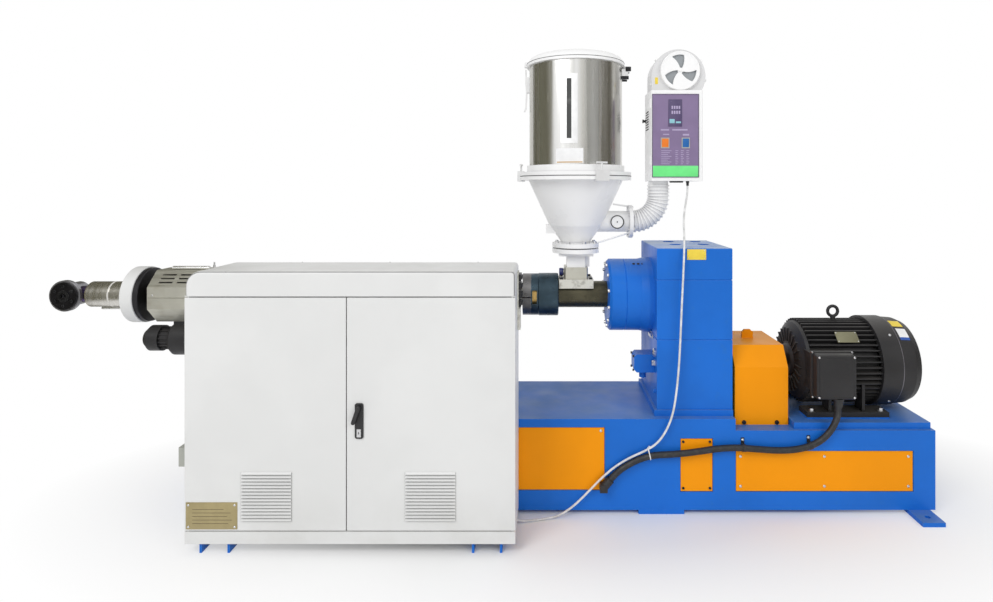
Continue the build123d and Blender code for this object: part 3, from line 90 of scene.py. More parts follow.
class Shape:
    """One piece in the making: boxes, turned parts and rods, in millimetres, gathered into one mesh."""

    def __init__(self):
        self.mesh = bmesh.new()

    def box(self, low, high, edge=1.0, turn=None):
        """A block with rounded edges; turn is a matrix about the block's own centre."""
        low = Vector(low)
        high = Vector(high)
        size = high - low
        place = Matrix.Translation((low + high) / 2)
        if turn is not None:
            place = place @ turn
        place = place @ Matrix.Diagonal((size.x, size.y, size.z, 1.0))
        made = bmesh.ops.create_cube(self.mesh, size=1.0, matrix=place)
        edges = list({e for v in made["verts"] for e in v.link_edges})
        bmesh.ops.bevel(self.mesh, geom=edges, offset=edge, segments=2, affect="EDGES", profile=0.5)
        return self

    def lathe(self, origin, axis, outline, steps=24, closed=False):
        """A turned part: outline is (radius, height along the axis) from end to end."""
        along = Vector(axis).normalized()
        side = along.orthogonal().normalized()
        other = along.cross(side)
        rings = []
        for radius, height in outline:
            centre = Vector(origin) + along * height
            if radius < 1e-6:
                rings.append([self.mesh.verts.new(centre)])
                continue
            ring = []
            for i in range(steps):
                angle = 2 * math.pi * i / steps
                spoke = side * math.cos(angle) + other * math.sin(angle)
                ring.append(self.mesh.verts.new(centre + spoke * radius))
            rings.append(ring)
        pairs = list(zip(rings, rings[1:]))
        if closed:
            pairs.append((rings[-1], rings[0]))
        for first, second in pairs:
            for i in range(steps):
                j = (i + 1) % steps
                if len(first) == 1:
                    corners = [first[0], second[j], second[i]]
                elif len(second) == 1:
                    corners = [first[i], first[j], second[0]]
                else:
                    corners = [first[i], first[j], second[j], second[i]]
                self.mesh.faces.new(corners)
        return self

    def bolt(self, origin, axis, across, height):
        """A hexagon head on a washer."""
        washer = across * 0.72
        rim = height * 0.22
        head = across / math.sqrt(3)
        self.lathe(origin, axis, [(0, -0.5), (washer, -0.5), (washer, rim), (0, rim)], 20)
        crown = [(0, rim), (head, rim), (head, height * 0.88), (head * 0.88, height), (0, height)]
        return self.lathe(origin, axis, crown, 6)

    def socket_screw(self, origin, axis, radius, height):
        """A cylindrical head with a hexagon socket."""
        key = radius * 0.55
        outline = [(0, -0.5), (radius, -0.5), (radius, height * 0.85), (radius * 0.9, height)]
        outline += [(key, height), (key, height * 0.4), (0, height * 0.4)]
        return self.lathe(origin, axis, outline, 18)

    def dome(self, origin, axis, radius, height):
        """A round rivet or pan head."""
        outline = [(0, -0.5), (radius, -0.5), (radius, height * 0.3)]
        for i in range(1, 4):
            angle = math.pi / 2 * i / 4
            outline.append((radius * math.cos(angle), height * (0.3 + 0.7 * math.sin(angle))))
        return self.lathe(origin, axis, outline + [(0, height)], 16)

    def rod(self, points, radius, steps=12):
        """A round bar along straight runs, with a ball at each corner."""
        for start, end in zip(points, points[1:]):
            length = (Vector(end) - Vector(start)).length
            outline = [(0, 0), (radius, 0), (radius, length), (0, length)]
            self.lathe(start, Vector(end) - Vector(start), outline, steps)
        for corner in points[1:-1]:
            place = Matrix.Translation(Vector(corner))
            bmesh.ops.create_icosphere(self.mesh, subdivisions=2, radius=radius, matrix=place)
        return self

    def ring(self, origin, axis, inner, outer, low, high, steps=96):
        """A flat band round an axis, between two heights along it."""
        outline = [(inner, low), (outer, low), (outer, high), (inner, high)]
        return self.lathe(origin, axis, outline, steps, closed=True)

    def slab(self, place, across, along, thick, steps=(12, 2)):
        """A thin plate that follows a surface: place(across, along, height) gives its points."""
        layers = []
        for height in (-0.5, thick):
            rows = []
            for i in range(steps[0] + 1):
                u = across[0] + (across[1] - across[0]) * i / steps[0]
                row = []
                for j in range(steps[1] + 1):
                    v = along[0] + (along[1] - along[0]) * j / steps[1]
                    row.append(self.mesh.verts.new(place(u, v, height)))
                rows.append(row)
            layers.append(rows)
        low, high = layers
        sheets = [(first, second) for rows in layers for first, second in zip(rows, rows[1:])]
        sheets += [(low[0], high[0]), (low[-1], high[-1])]
        sheets.append(([row[0] for row in low], [row[0] for row in high]))
        sheets.append(([row[-1] for row in low], [row[-1] for row in high]))
        for first, second in sheets:
            for corners in zip(first, first[1:], second[1:], second):
                self.mesh.faces.new(corners)
        return self

    def strap(self, first, second, along, radii, width, thick=1.6):
        """A flat tie drawn tight round two leads that run side by side."""
        reach = second - first
        reach -= along * reach.dot(along)
        out = reach.normalized()
        side = along.cross(out)
        lean = math.acos((radii[0] - radii[1]) / reach.length)
        stops = [(first, radii[0], lean + 2 * (math.pi - lean) * i / 16) for i in range(17)]
        stops += [(first + reach, radii[1], lean * (i / 4 - 1)) for i in range(9)]
        loops = []
        for centre, radius, angle in stops:
            spoke = out * math.cos(angle) + side * math.sin(angle)
            loop = []
            for lift, shift in ((0, -0.5), (thick, -0.5), (thick, 0.5), (0, 0.5)):
                loop.append(self.mesh.verts.new(centre + spoke * (radius + lift) + along * width * shift))
            loops.append(loop)
        for here, after in zip(loops, loops[1:] + loops[:1]):
            for i in range(4):
                j = (i + 1) % 4
                self.mesh.faces.new((here[i], here[j], after[j], after[i]))
        return self

    def piece(self, name, look, body="root"):
        """Ends the making: the mesh becomes a named object on a body; look is its finish and slot, and the
        slot is not used.
        """
        finish, slot = look
        bmesh.ops.recalc_face_normals(self.mesh, faces=self.mesh.faces)
        bmesh.ops.scale(self.mesh, vec=(MM, MM, MM), verts=self.mesh.verts)
        mesh = bpy.data.meshes.new(name)
        self.mesh.to_mesh(mesh)
        self.mesh.free()
        mesh.polygons.foreach_set("use_smooth", [True] * len(mesh.polygons))
        mesh.set_sharp_from_angle(angle=math.radians(35.0))
        mesh.materials.append(finish.material)
        obj = place_object(name, mesh)
        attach(obj, body)
        return obj


class Finish:
    """A material in the making, round one Principled shader."""

    def __init__(self, name, color, rough, metallic=0.0):
        self.material = bpy.data.materials.new(name)
        self.material.use_nodes = True
        self.tree = self.material.node_tree
        self.shader = self.tree.nodes["Principled BSDF"]
        self.set("Base Color", (*color, 1.0)).set("Roughness", rough).set("Metallic", metallic)
        self.color = color
        self.color_source = None
        self.bump_source = None
        self.place = self.node("ShaderNodeTexCoord").outputs["Object"]

    def set(self, name, value):
        self.shader.inputs[name].default_value = value
        return self

    def node(self, kind, inputs=None, **settings):
        """A new node with its settings and the values of its inputs."""
        made = self.tree.nodes.new(kind)
        for key, value in settings.items():
            setattr(made, key, value)
        for key, value in (inputs or {}).items():
            made.inputs[key].default_value = value
        return made

    def link(self, source, target):
        self.tree.links.new(source, target)

    def noise(self, scale, detail=3.0, stretch=None):
        """Noise from 0 to 1 at so many waves a metre, stretched along the axes."""
        source = self.place
        if stretch is not None:
            mapping = self.node("ShaderNodeMapping", {"Scale": stretch})
            self.link(source, mapping.inputs["Vector"])
            source = mapping.outputs["Vector"]
        made = self.node("ShaderNodeTexNoise", {"Scale": scale, "Detail": detail, "Roughness": 0.5})
        self.link(source, made.inputs["Vector"])
        return made.outputs["Fac"]

    def span(self, source, low, high, to_low=0.0, to_high=1.0):
        """Maps a value from one span to another and holds it there."""
        ends = {"From Min": low, "From Max": high, "To Min": to_low, "To Max": to_high}
        made = self.node("ShaderNodeMapRange", ends, clamp=True)
        self.link(source, made.inputs["Value"])
        return made.outputs["Result"]

    def times(self, first, second):
        made = self.node("ShaderNodeMath", operation="MULTIPLY")
        self.link(first, made.inputs[0])
        self.link(second, made.inputs[1])
        return made.outputs["Value"]

    def axis(self, name, source):
        """One axis of a place or a direction."""
        made = self.node("ShaderNodeSeparateXYZ")
        self.link(source, made.inputs["Vector"])
        return made.outputs[name]

    def normal(self):
        return self.node("ShaderNodeNewGeometry").outputs["Normal"]

    def tint(self, mask, color):
        """Lays another colour over the surface where the mask is 1."""
        mix = self.node("ShaderNodeMix", data_type="RGBA")
        self.link(mask, mix.inputs["Factor"])
        if self.color_source is None:
            mix.inputs["A"].default_value = (*self.color, 1.0)
        else:
            self.link(self.color_source, mix.inputs["A"])
        mix.inputs["B"].default_value = (*color, 1.0)
        self.color_source = mix.outputs["Result"]
        self.link(self.color_source, self.shader.inputs["Base Color"])
        return self

    def stain(self, scale, detail, low, high, amount, color):
        """Patches of another colour, where the noise runs from low to high."""
        return self.tint(self.span(self.noise(scale, detail), low, high, 0.0, amount), color)

    def vary(self, scale, amount):
        """Cloudy variation of the tone, lighter and darker by the amount."""
        cloud = self.noise(scale, 4.0)
        self.tint(self.span(cloud, 0.45, 0.75), [min(1.0, c * (1 + amount)) for c in self.color])
        return self.tint(self.span(cloud, 0.55, 0.25), [c * (1 - amount) for c in self.color])

    def gloss(self, scale, low, high, detail=3.0, stretch=None):
        """Uneven roughness, from low to high."""
        source = self.span(self.noise(scale, detail, stretch), 0.3, 0.7, low, high)
        self.link(source, self.shader.inputs["Roughness"])
        return self

    def bump(self, scale, distance, detail=2.0, stretch=None):
        """Adds relief of so many metres."""
        made = self.node("ShaderNodeBump", {"Strength": 1.0, "Distance": distance})
        self.link(self.noise(scale, detail, stretch), made.inputs["Height"])
        if self.bump_source is not None:
            self.link(self.bump_source, made.inputs["Normal"])
        self.bump_source = made.outputs["Normal"]
        self.link(self.bump_source, self.shader.inputs["Normal"])
        return self

    def worn_edges(self, radius, color, amount):
        """Bare or chalky edges, where the normal rounded over the radius leaves the surface's own."""
        soft = self.node("ShaderNodeBevel", {"Radius": radius}, samples=6)
        dot = self.node("ShaderNodeVectorMath", operation="DOT_PRODUCT")
        self.link(soft.outputs["Normal"], dot.inputs[0])
        self.link(self.normal(), dot.inputs[1])
        edge = self.span(dot.outputs["Value"], 0.97, 0.80)
        patchy = self.span(self.noise(35.0, 4.0), 0.42, 0.60, 0.0, amount)
        return self.tint(self.times(edge, patchy), color)

    def dust_and_sheen(self, color, amount):
        """Dust and painted sheen on what faces up."""
        up = self.span(self.axis("Z", self.normal()), 0.6, 0.98)
        patchy = self.span(self.noise(7.0, 5.0), 0.30, 0.70, amount * 0.45, amount)
        return self.tint(self.times(up, patchy), color)

    def painted_gap_shade(self, reach, color, amount):
        """Painted shade in narrow gaps, out to a reach in metres."""
        near = self.node("ShaderNodeAmbientOcclusion", {"Distance": reach}, samples=6, only_local=True)
        return self.tint(self.span(near.outputs["AO"], 0.90, 0.42, 0.0, amount), color)


def painted(name, color, rough=0.38, tone=0.05, peel=0.00012, shine=0.3):
    """Sprayed enamel: cloudy tone, uneven gloss and a fine orange peel."""
    finish = Finish(name, color, rough).set("Specular IOR Level", shine).vary(2.6, tone)
    return finish.gloss(9.0, rough - 0.07, rough + 0.10, 4.0).bump(420.0, peel)


def machine_blue(name, dust_and_sheen_color, amount):
    """Machine enamel, dusted and with painted sheen on top, chalky at the edges."""
    finish = painted(name, BLUE, 0.40, 0.10, shine=0.2)
    finish.stain(28.0, 6.0, 0.62, 0.80, 0.35, (0.030, 0.165, 0.48))
    # Dusted tops with painted sheen: a greyer, lighter blue on what faces up
    return finish.dust_and_sheen(dust_and_sheen_color, amount).worn_edges(0.004, (0.10, 0.30, 0.80), 0.55)


def cabinet_white():
    """Pale enamel, darker in patches towards the floor, with painted shade in its gaps."""
    finish = painted("cabinet white", WHITE, 0.42, 0.035, 0.00008).dust_and_sheen((0.58, 0.57, 0.54), 0.45)
    # Darker in patches towards the floor
    low = finish.span(finish.axis("Z", finish.place), 0.30, 0.04, 0.0, 0.35)
    finish.tint(finish.times(low, finish.span(finish.noise(6.0, 5.0), 0.40, 0.75)), (0.52, 0.51, 0.47))
    finish.worn_edges(0.003, (0.66, 0.66, 0.65), 0.5)
    # Painted shade, near black, in the cabinet's narrow gaps, such as between its louvres
    return finish.painted_gap_shade(0.014, (0.13, 0.13, 0.125), 0.9)


def dryer_white(name, color):
    finish = painted(name, color, 0.30, 0.03, 0.00006).dust_and_sheen((0.66, 0.65, 0.61), 0.35)
    finish.worn_edges(0.003, (0.62, 0.62, 0.62), 0.5)
    # Painted shade, blue-grey, in the dryer's narrow gaps, such as between the elbow's ribs
    return finish.painted_gap_shade(0.012, (0.46, 0.46, 0.49), 0.5)


def mirror_steel():
    """Rolled polished sheet: long vertical waves, with painted reflections in dark olive and bright vertical
    stripes round the drum.
    """
    finish = Finish("polished sheet", STEEL, 0.16, 1.0)
    painted_reflection_bands = finish.noise(9.0, 2.0, (1.0, 1.0, 0.02))
    # Painted reflections: dark olive and bright vertical stripes in the steel's colour
    finish.tint(finish.span(painted_reflection_bands, 0.46, 0.66, 0.0, 0.75), (0.36, 0.345, 0.285))
    finish.tint(finish.span(painted_reflection_bands, 0.44, 0.30, 0.0, 0.60), (0.82, 0.82, 0.81))
    finish.gloss(60.0, 0.17, 0.30, stretch=(1.0, 1.0, 0.03))
    return finish.bump(2.2, 0.004, stretch=(1.0, 1.0, 0.25))


def warm_cover():
    """Brushed stainless sheet that has been hot: warm grey with stains."""
    finish = Finish("warm stainless", WARM_STEEL, 0.36, 0.85).vary(5.0, 0.10)
    finish.stain(16.0, 5.0, 0.55, 0.75, 0.5, (0.42, 0.39, 0.31))
    finish.gloss(90.0, 0.28, 0.48, stretch=(0.05, 1.0, 1.0))
    finish.bump(500.0, 0.00006, stretch=(0.02, 1.0, 1.0))
    return finish.worn_edges(0.002, (0.72, 0.71, 0.68), 0.6)


def oily_steel(name, color, rough=0.34):
    """Turned steel under oil: fine lathe marks and patchy film."""
    finish = Finish(name, color, rough, 0.75).vary(12.0, 0.35)
    finish.stain(24.0, 6.0, 0.60, 0.78, 0.6, [c * 0.35 for c in color])
    finish.gloss(30.0, rough - 0.12, rough + 0.16, 4.0)
    finish.bump(700.0, 0.00006, stretch=(1.0, 0.04, 0.04))
    return finish.worn_edges(0.0025, [min(1.0, c * 4 + 0.10) for c in color], 0.7)


def heat_tinted():
    """The adapter: pale turned steel that runs into blue and purple heat colours at the neck."""
    finish = Finish("heat tinted steel", (0.640, 0.625, 0.590), 0.26, 1.0).vary(6.0, 0.08)
    along = finish.axis("X", finish.place)
    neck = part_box("head_adapter")[0].x
    finish.tint(finish.span(along, neck + 0.070, neck + 0.047), (0.480, 0.400, 0.260))
    finish.tint(finish.span(along, neck + 0.050, neck + 0.036), (0.190, 0.140, 0.360))
    finish.tint(finish.span(along, neck + 0.022, neck - 0.003, 0.0, 0.8), (0.070, 0.065, 0.130))
    finish.gloss(60.0, 0.20, 0.32, stretch=(1.0, 0.05, 0.05))
    return finish.bump(300.0, 0.00002, stretch=(1.0, 0.03, 0.03))


def moulded_black(name, rough=0.42):
    finish = Finish(name, BLACK, rough).vary(20.0, 0.3)
    return finish.gloss(50.0, rough - 0.08, rough + 0.12).bump(900.0, 0.00010)


def cable_sheath(name, color, grime):
    """A drawn plastic or rubber sheath, scuffed along its length."""
    finish = Finish(name, color, 0.5).vary(30.0, 0.2).stain(45.0, 5.0, 0.55, 0.75, 0.6, grime)
    return finish.gloss(70.0, 0.40, 0.62).bump(900.0, 0.00008)


def plain_print(name, color, rough=0.4, metallic=0.0):
    """Small printed or plated faces: an even colour with a little wear in it."""
    finish = Finish(name, color, rough, metallic).vary(25.0, 0.05)
    return finish.gloss(90.0, rough - 0.08, rough + 0.10).bump(900.0, 0.00003)


# What stands in each material slot, and the nodes that differ from their slot
finishes = {
    "blue_paint": machine_blue("blue enamel", (0.13, 0.23, 0.42), 0.70),
    "orange_paint": painted("orange enamel", ORANGE, 0.40, 0.06, shine=0.12)
    .dust_and_sheen((0.62, 0.36, 0.13), 0.35).worn_edges(0.003, (0.96, 0.50, 0.10), 0.5),
    "white_paint": cabinet_white(),
    "hopper_white": dryer_white("dryer white", HOPPER_WHITE),
    "polished_steel": mirror_steel(),
    "fittings_steel": Finish("bright fittings", (0.740, 0.740, 0.735), 0.28, 1.0)
    .vary(9.0, 0.06).gloss(30.0, 0.24, 0.36).bump(300.0, 0.00001),
    "cover_steel": warm_cover(),
    "dark_steel": oily_steel("oily steel", OILY_STEEL),
    "saddle_paint": painted("saddle paint", SADDLE, 0.45, 0.08)
    .stain(34.0, 6.0, 0.55, 0.72, 0.7, (0.30, 0.29, 0.25))
    .dust_and_sheen((0.40, 0.38, 0.32), 0.7).worn_edges(0.003, (0.24, 0.23, 0.20), 0.7),
    "brass": Finish("brass", BRASS, 0.34, 1.0)
    .vary(40.0, 0.25).stain(26.0, 5.0, 0.52, 0.72, 0.7, (0.22, 0.15, 0.07))
    .gloss(80.0, 0.28, 0.50).bump(500.0, 0.00006),
    "charcoal": painted("black enamel", CHARCOAL, 0.46, 0.25, 0.00025)
    .bump(140.0, 0.00035, 4.0)
    .dust_and_sheen((0.095, 0.090, 0.082), 0.65).worn_edges(0.003, (0.070, 0.068, 0.066), 0.6),
    "sight_glass": Finish("sight glass", (0.040, 0.042, 0.042), 0.08)
    .set("Coat Weight", 0.4)
    .stain(22.0, 5.0, 0.58, 0.80, 0.5, (0.20, 0.20, 0.19)).gloss(40.0, 0.05, 0.20),
    "purple_panel": Finish("panel film", PURPLE, 0.34)
    .vary(14.0, 0.06).gloss(40.0, 0.28, 0.42).bump(800.0, 0.00004),
    "black_plastic": moulded_black("black plastic"),
    "grey_box": painted("grey box", GREY_BOX, 0.5, 0.08)
    .dust_and_sheen((0.33, 0.32, 0.28), 0.6).worn_edges(0.002, (0.30, 0.30, 0.28), 0.5),
    "black_cable": cable_sheath("black sheath", (0.018, 0.018, 0.019), (0.060, 0.058, 0.054)),
    "white_cable": cable_sheath("white sheath", (0.740, 0.740, 0.730), (0.560, 0.550, 0.520)),
}
finishes["stand_paint"] = finishes["blue_paint"]
node_finishes = {
    "barrel_ring_nut": oily_steel("blued steel", BLUED_STEEL, 0.36),
    "head_flange": oily_steel("flange steel", HEAD_STEEL, 0.42),
    "crosshead_body": oily_steel("head steel", (0.240, 0.238, 0.252), 0.32),
    "barrel_end_clamp": oily_steel("clamp steel", (0.150, 0.147, 0.146), 0.36),
    "hopper_sight_frame": plain_print("sight frame", (0.800, 0.800, 0.800), 0.42, 0.85),
    # Heavier and paler: a dusted top with painted sheen on the gearbox cover
    "gearbox_cover": machine_blue("dusted blue enamel with painted sheen", (0.40, 0.49, 0.60), 0.90),
    # A darker copy of the dryer's white: painted shade on the blower housing, so its outline shows against
    # the white behind it
    "blower_housing": dryer_white("blower housing, painted shade", (0.700, 0.700, 0.705)),
    "hopper_clamps": plain_print("clamp metal", (0.780, 0.780, 0.780), 0.40, 0.3),
    "motor_eyebolt": finishes["charcoal"],
    "crosshead_face": oily_steel("head face steel", (0.018, 0.017, 0.019), 0.38),
    "head_adapter": heat_tinted(),
}
for subpart in frame["record"]["subparts"]:
    node = subpart["node"]
    nodes[node].data.materials.clear()
    nodes[node].data.materials.append(node_finishes.get(node, finishes[subpart["material_slot"]]).material)


def make_cable(name, route, diameter, slot):
    """A cable on one smooth line through the route's control points."""
    route = [[round(value * MM, 4) for value in place] for place in route]
    curve = bpy.data.curves.new(name, "CURVE")
    curve.dimensions = "3D"
    curve.resolution_u = 10
    curve.bevel_depth = diameter / 2
    curve.bevel_resolution = 5
    curve.use_fill_caps = True
    spline = curve.splines.new("NURBS")
    spline.points.add(len(route) - 1)
    for point, place in zip(spline.points, route):
        point.co = (*place, 1.0)
    spline.order_u = 3
    spline.use_endpoint_u = True
    cable = place_object(name, curve)
    curve.materials.append(finishes[slot].material)
    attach(cable, "root")
    return cable


motor_route = [
    (1226, -305, 522), (1226, -305, 482), (1206, -305, 428), (1166, -306, 376),
    (1108, -306, 338), (1034, -305, 317), (944, -305, 312), (846, -305, 319),
    (748, -305, 327), (652, -306, 322), (552, -306, 306), (450, -306, 295),
    (356, -306, 292), (284, -305, 272), (226, -305, 242), (182, -305, 212),
    (150, -305, 176),
]
heater_route = [
    (572, -60, 1566), (572, -60, 1528), (558, -76, 1474), (540, -116, 1412),
    (526, -176, 1362), (515, -236, 1304), (507, -262, 1214), (500, -266, 1084),
    (494, -264, 944), (488, -265, 804), (480, -270, 684), (466, -282, 572),
    (446, -300, 482), (416, -306, 410), (374, -305, 348), (318, -304, 312),
    (240, -303, 278), (168, -302, 234), (98, -302, 172), (32, -304, 104),
    (-32, -310, 46), (-98, -322, 12), (-164, -336, 6), (-226, -350, 6.5),
    (-276, -362, 11), (-306, -369, 26), (-314, -371, 46), (-314, -371, 66),
]
motor_lead = make_cable("motor_lead", motor_route, 0.030, "black_cable")
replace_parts(motor_lead, "motor_cable")
heater_lead = make_cable("heater_lead", heater_route, 0.010, "white_cable")
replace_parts(heater_lead, "heater_cable")

# Directions
FRONT = (0, -1, 0)
BACK = (0, 1, 0)
LEFT = (-1, 0, 0)
RIGHT = (1, 0, 0)
UP = (0, 0, 1)


def small(slot, *values):
    """A finish that only small pieces have, with the slot they stand in."""
    return plain_print(*values), slot


# Each look is a finish and its slot
main = {slot: (finish, slot) for slot, finish in finishes.items()}
zinc = small("fittings_steel", "zinc plate", (0.66, 0.66, 0.67), 0.30, 1.0)
black_screws = (oily_steel("black screws", (0.030, 0.030, 0.032), 0.40), "dark_steel")
black_keyhole = (black_screws[0], "black_plastic")
rubber = (moulded_black("grey gasket", 0.6), "black_plastic")
plate_gold = small("brass", "bare brass plate", (0.400, 0.330, 0.170), 0.36, 0.6)
plate_yellow = small("brass", "yellow plate", YELLOW, 0.42)
plate_olive = small("brass", "olive plate", (0.235, 0.225, 0.140), 0.40, 0.5)
plate_white = small("white_paint", "white plate", (0.870, 0.870, 0.875), 0.40)
plate_blue = small("blue_paint", "blue band", (0.030, 0.100, 0.420), 0.40)
ink = small("brass", "engraved lines", (0.120, 0.095, 0.045), 0.55)
ochre = small("brass", "ochre line", (0.560, 0.330, 0.090), 0.45)
worn_bead = small("charcoal", "worn bead", (0.190, 0.180, 0.200), 0.34, 0.7)
blue_knob = small("black_plastic", "blue knob", (0.020, 0.030, 0.150), 0.35)
display_glass = small("black_plastic", "display window", (0.100, 0.075, 0.165), 0.18)
border_print = small("purple_panel", "panel border", (0.060, 0.045, 0.095), 0.4)
pale_print = small("purple_panel", "pale print", (0.440, 0.370, 0.560), 0.40)
teal_print = small("purple_panel", "display figures", (0.270, 0.560, 0.640), 0.35)
green_print = small("purple_panel", "green strip", GREEN, 0.40)
orange_key = small("orange_paint", "orange rocker", (0.830, 0.200, 0.012), 0.34)
blue_key = small("blue_paint", "blue rocker", (0.010, 0.130, 0.420), 0.34)
tie_white = small("white_cable", "white tie", (0.780, 0.780, 0.770), 0.45)
# Painted shade for the dark inside of the blower's windows
painted_window_shade = small("grey_box", "blower shade", (0.290, 0.310, 0.325), 0.50)


def box_of(node):
    """A node's lowest and highest corners, in millimetres to a tenth."""
    return [Vector([round(value / MM, 1) for value in corner]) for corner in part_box(node)]


def middle_of(node):
    low, high = box_of(node)
    return (low + high) / 2


def grid(columns, rows):
    """Each column with each row."""
    return [(column, row) for column in columns for row in rows]


def on_front(node, columns, rows):
    """Points on a node's front, at distances from its lower left corner."""
    low, _ = box_of(node)
    return [low + Vector((x, 0, z)) for x, z in grid(columns, rows)]


# Axes and faces that several pieces are set from, in millimetres
screw_axis = middle_of("screw_barrel").z
motor_axis = round(middle_of("motor_cowl").z)
blower_axis = middle_of("blower_inlet")
blower_front = box_of("blower_inlet")[0].y
blower_floor = blower_front + 11


def round_level(x, middle, radius, degrees):
    """A point round a level axis and the way out of it; degrees run from the top towards the front."""
    turn = math.radians(degrees)
    out = Vector((0.0, -math.sin(turn), math.cos(turn)))
    return Vector((x, 0.0, middle)) + out * radius, out


def round_hopper(z, radius, degrees):
    """A point round the hopper's axis and the way out; degrees run from the front to the right."""
    turn = math.radians(degrees)
    out = Vector((math.sin(turn), -math.cos(turn), 0.0))
    return Vector((0.0, 0.0, z)) + out * radius, out


def lead_line(lead):
    """The line that a lead follows, in millimetres."""
    curve = lead.data.copy()
    curve.bevel_depth = 0.0
    bare = bpy.data.objects.new("line", curve)
    mesh = bpy.data.meshes.new_from_object(bare)
    line = [vertex.co / MM for vertex in mesh.vertices]
    bpy.data.objects.remove(bare)
    bpy.data.curves.remove(curve)
    bpy.data.meshes.remove(mesh)
    return line


def on_line(line, x):
    """The line's point nearest to x, and the way it runs there."""
    i = min(range(1, len(line) - 1), key=lambda k: abs(line[k].x - x))
    return line[i], (line[i + 1] - line[i - 1]).normalized()


def dress_base():
    screws = Shape()
    places = on_front("base_panel_left", (19, 585, 1152, 1699), (16, 280))
    places += on_front("base_panel_right", (21, 421, 821), (23, 165))
    for place in places:
        screws.dome(place, FRONT, 7, 3.6)
    small = Shape()
    for place in on_front("base_panel_middle", (12, 139), (14, 235)):
        small.socket_screw(place, FRONT, 6, 4)
    small.piece("middle_panel_screws", black_screws)
    face = box_of("base_frame")[0].y
    motor_line = lead_line(motor_lead)
    heater_line = lead_line(heater_lead)
    clips = Shape()
    for clip_x in (778, 1096):
        place, along = on_line(motor_line, clip_x)
        x, z = place.x, place.z
        clips.ring(place, along, 15.0, 17.2, -8, 8, 32)
        clips.box((x - 8, face - 9, z + 9), (x + 8, face - 1, z + 17), 1.0)
        clips.box((x - 8, face - 3, z + 9), (x + 8, face, z + 42), 1.0)
        screws.dome((x, face - 3, z + 31), FRONT, 7, 4.5)
    clips.piece("motor_lead_clips", main["black_plastic"])
    screws.piece("base_panel_screws", zinc)
    tie_x = 334
    first, along = on_line(motor_line, tie_x)
    second, _ = on_line(heater_line, first.x)
    tie = Shape().strap(first, second, along, (15.3, 5.3), 5.0)
    head = second + (second - first).normalized() * 7.5
    tie.box(head - Vector((4, 3.5, 3)), head + Vector((4, 3.5, 3)), 0.8)
    tie.piece("lead_tie", tie_white)


def dress_doors():
    """The bare plate on the left door, and the lock in the right door's handle plate."""
    face = box_of("cabinet_plinth")[0].y
    door = box_of("left_door")[0]
    left, right = door.x + 6, door.x + 224
    bottom, top = door.z + 6, door.z + 120
    plate = Shape().box((left, face - 1.8, bottom), (right, face + 0.5, top), 0.7)
    plate.box((left + 4, face - 2.4, bottom + 4), (right - 4, face - 1.5, top - 4), 0.4)
    plate.piece("door_plate", plate_gold, "left_door")
    rules = Shape()
    for row, length in enumerate((132, 162, 147, 167, 152)):
        x, z = left + 28, top - 30 - 15 * row
        rules.box((x, face - 2.8, z), (x + length, face - 2.2, z + 1.8), 0.2)
    rules.piece("door_plate_rules", ink, "left_door")
    rivets = Shape()
    for x, z in grid((left + 11, right - 11), (bottom + 11, top - 11)):
        rivets.dome((x, face - 2.4, z), FRONT, 5, 2.6)
    rivets.piece("door_plate_rivets", zinc, "left_door")
    x = middle_of("handle_plate").x
    front = box_of("handle_plate")[0].y
    key = box_of("handle_plate")[0].z + 27
    lock = Shape().box((x - 9, front - 3, key - 19), (x + 9, front + 0.5, key + 15), 1.2)
    lock.lathe((x, front - 3, key), FRONT, [(0, -0.5), (7, -0.5), (7, 1.2), (5.5, 2), (0, 2)], 24)
    lock.piece("door_lock", zinc, "right_door")
    keyhole = Shape().box((x - 1.2, front - 5.6, key - 6), (x + 1.2, front - 4.5, key + 6), 0.4)
    keyhole.dome((x, front - 5, key), FRONT, 2.6, 0.6)
    keyhole.piece("door_keyhole", black_keyhole, "right_door")


def dress_cabinet_side():
    """The connectors on the cabinet's right side, on their rail."""
    wall = box_of("cabinet_plinth")[1].x
    y = box_of("cabinet_back")[1].y - 88
    bottom = box_of("cabinet_sides")[1].z - 188
    rail = Shape().box((wall - 1, y - 49, bottom + 95), (wall + 6, y + 49, bottom + 263), 1.0)
    rail.box((wall - 1, y - 29, bottom), (wall + 14, y + 29, bottom + 99), 2.0)
    rail.piece("cabinet_connector_rail", main["saddle_paint"])
    socket = [(0, -1), (8, -1), (8, 4), (6, 5), (6, 1), (0, 1)]
    sockets = Shape()
    for row in range(4):
        z = bottom + 107 + 39 * row
        sockets.box((wall + 5, y - 41, z), (wall + 18, y + 41, z + 30), 2.0)
        for shift in (-27, 0, 27):
            sockets.lathe((wall + 18, y + shift, z + 15), RIGHT, socket, 20)
    sockets.piece("cabinet_connectors", main["black_plastic"])


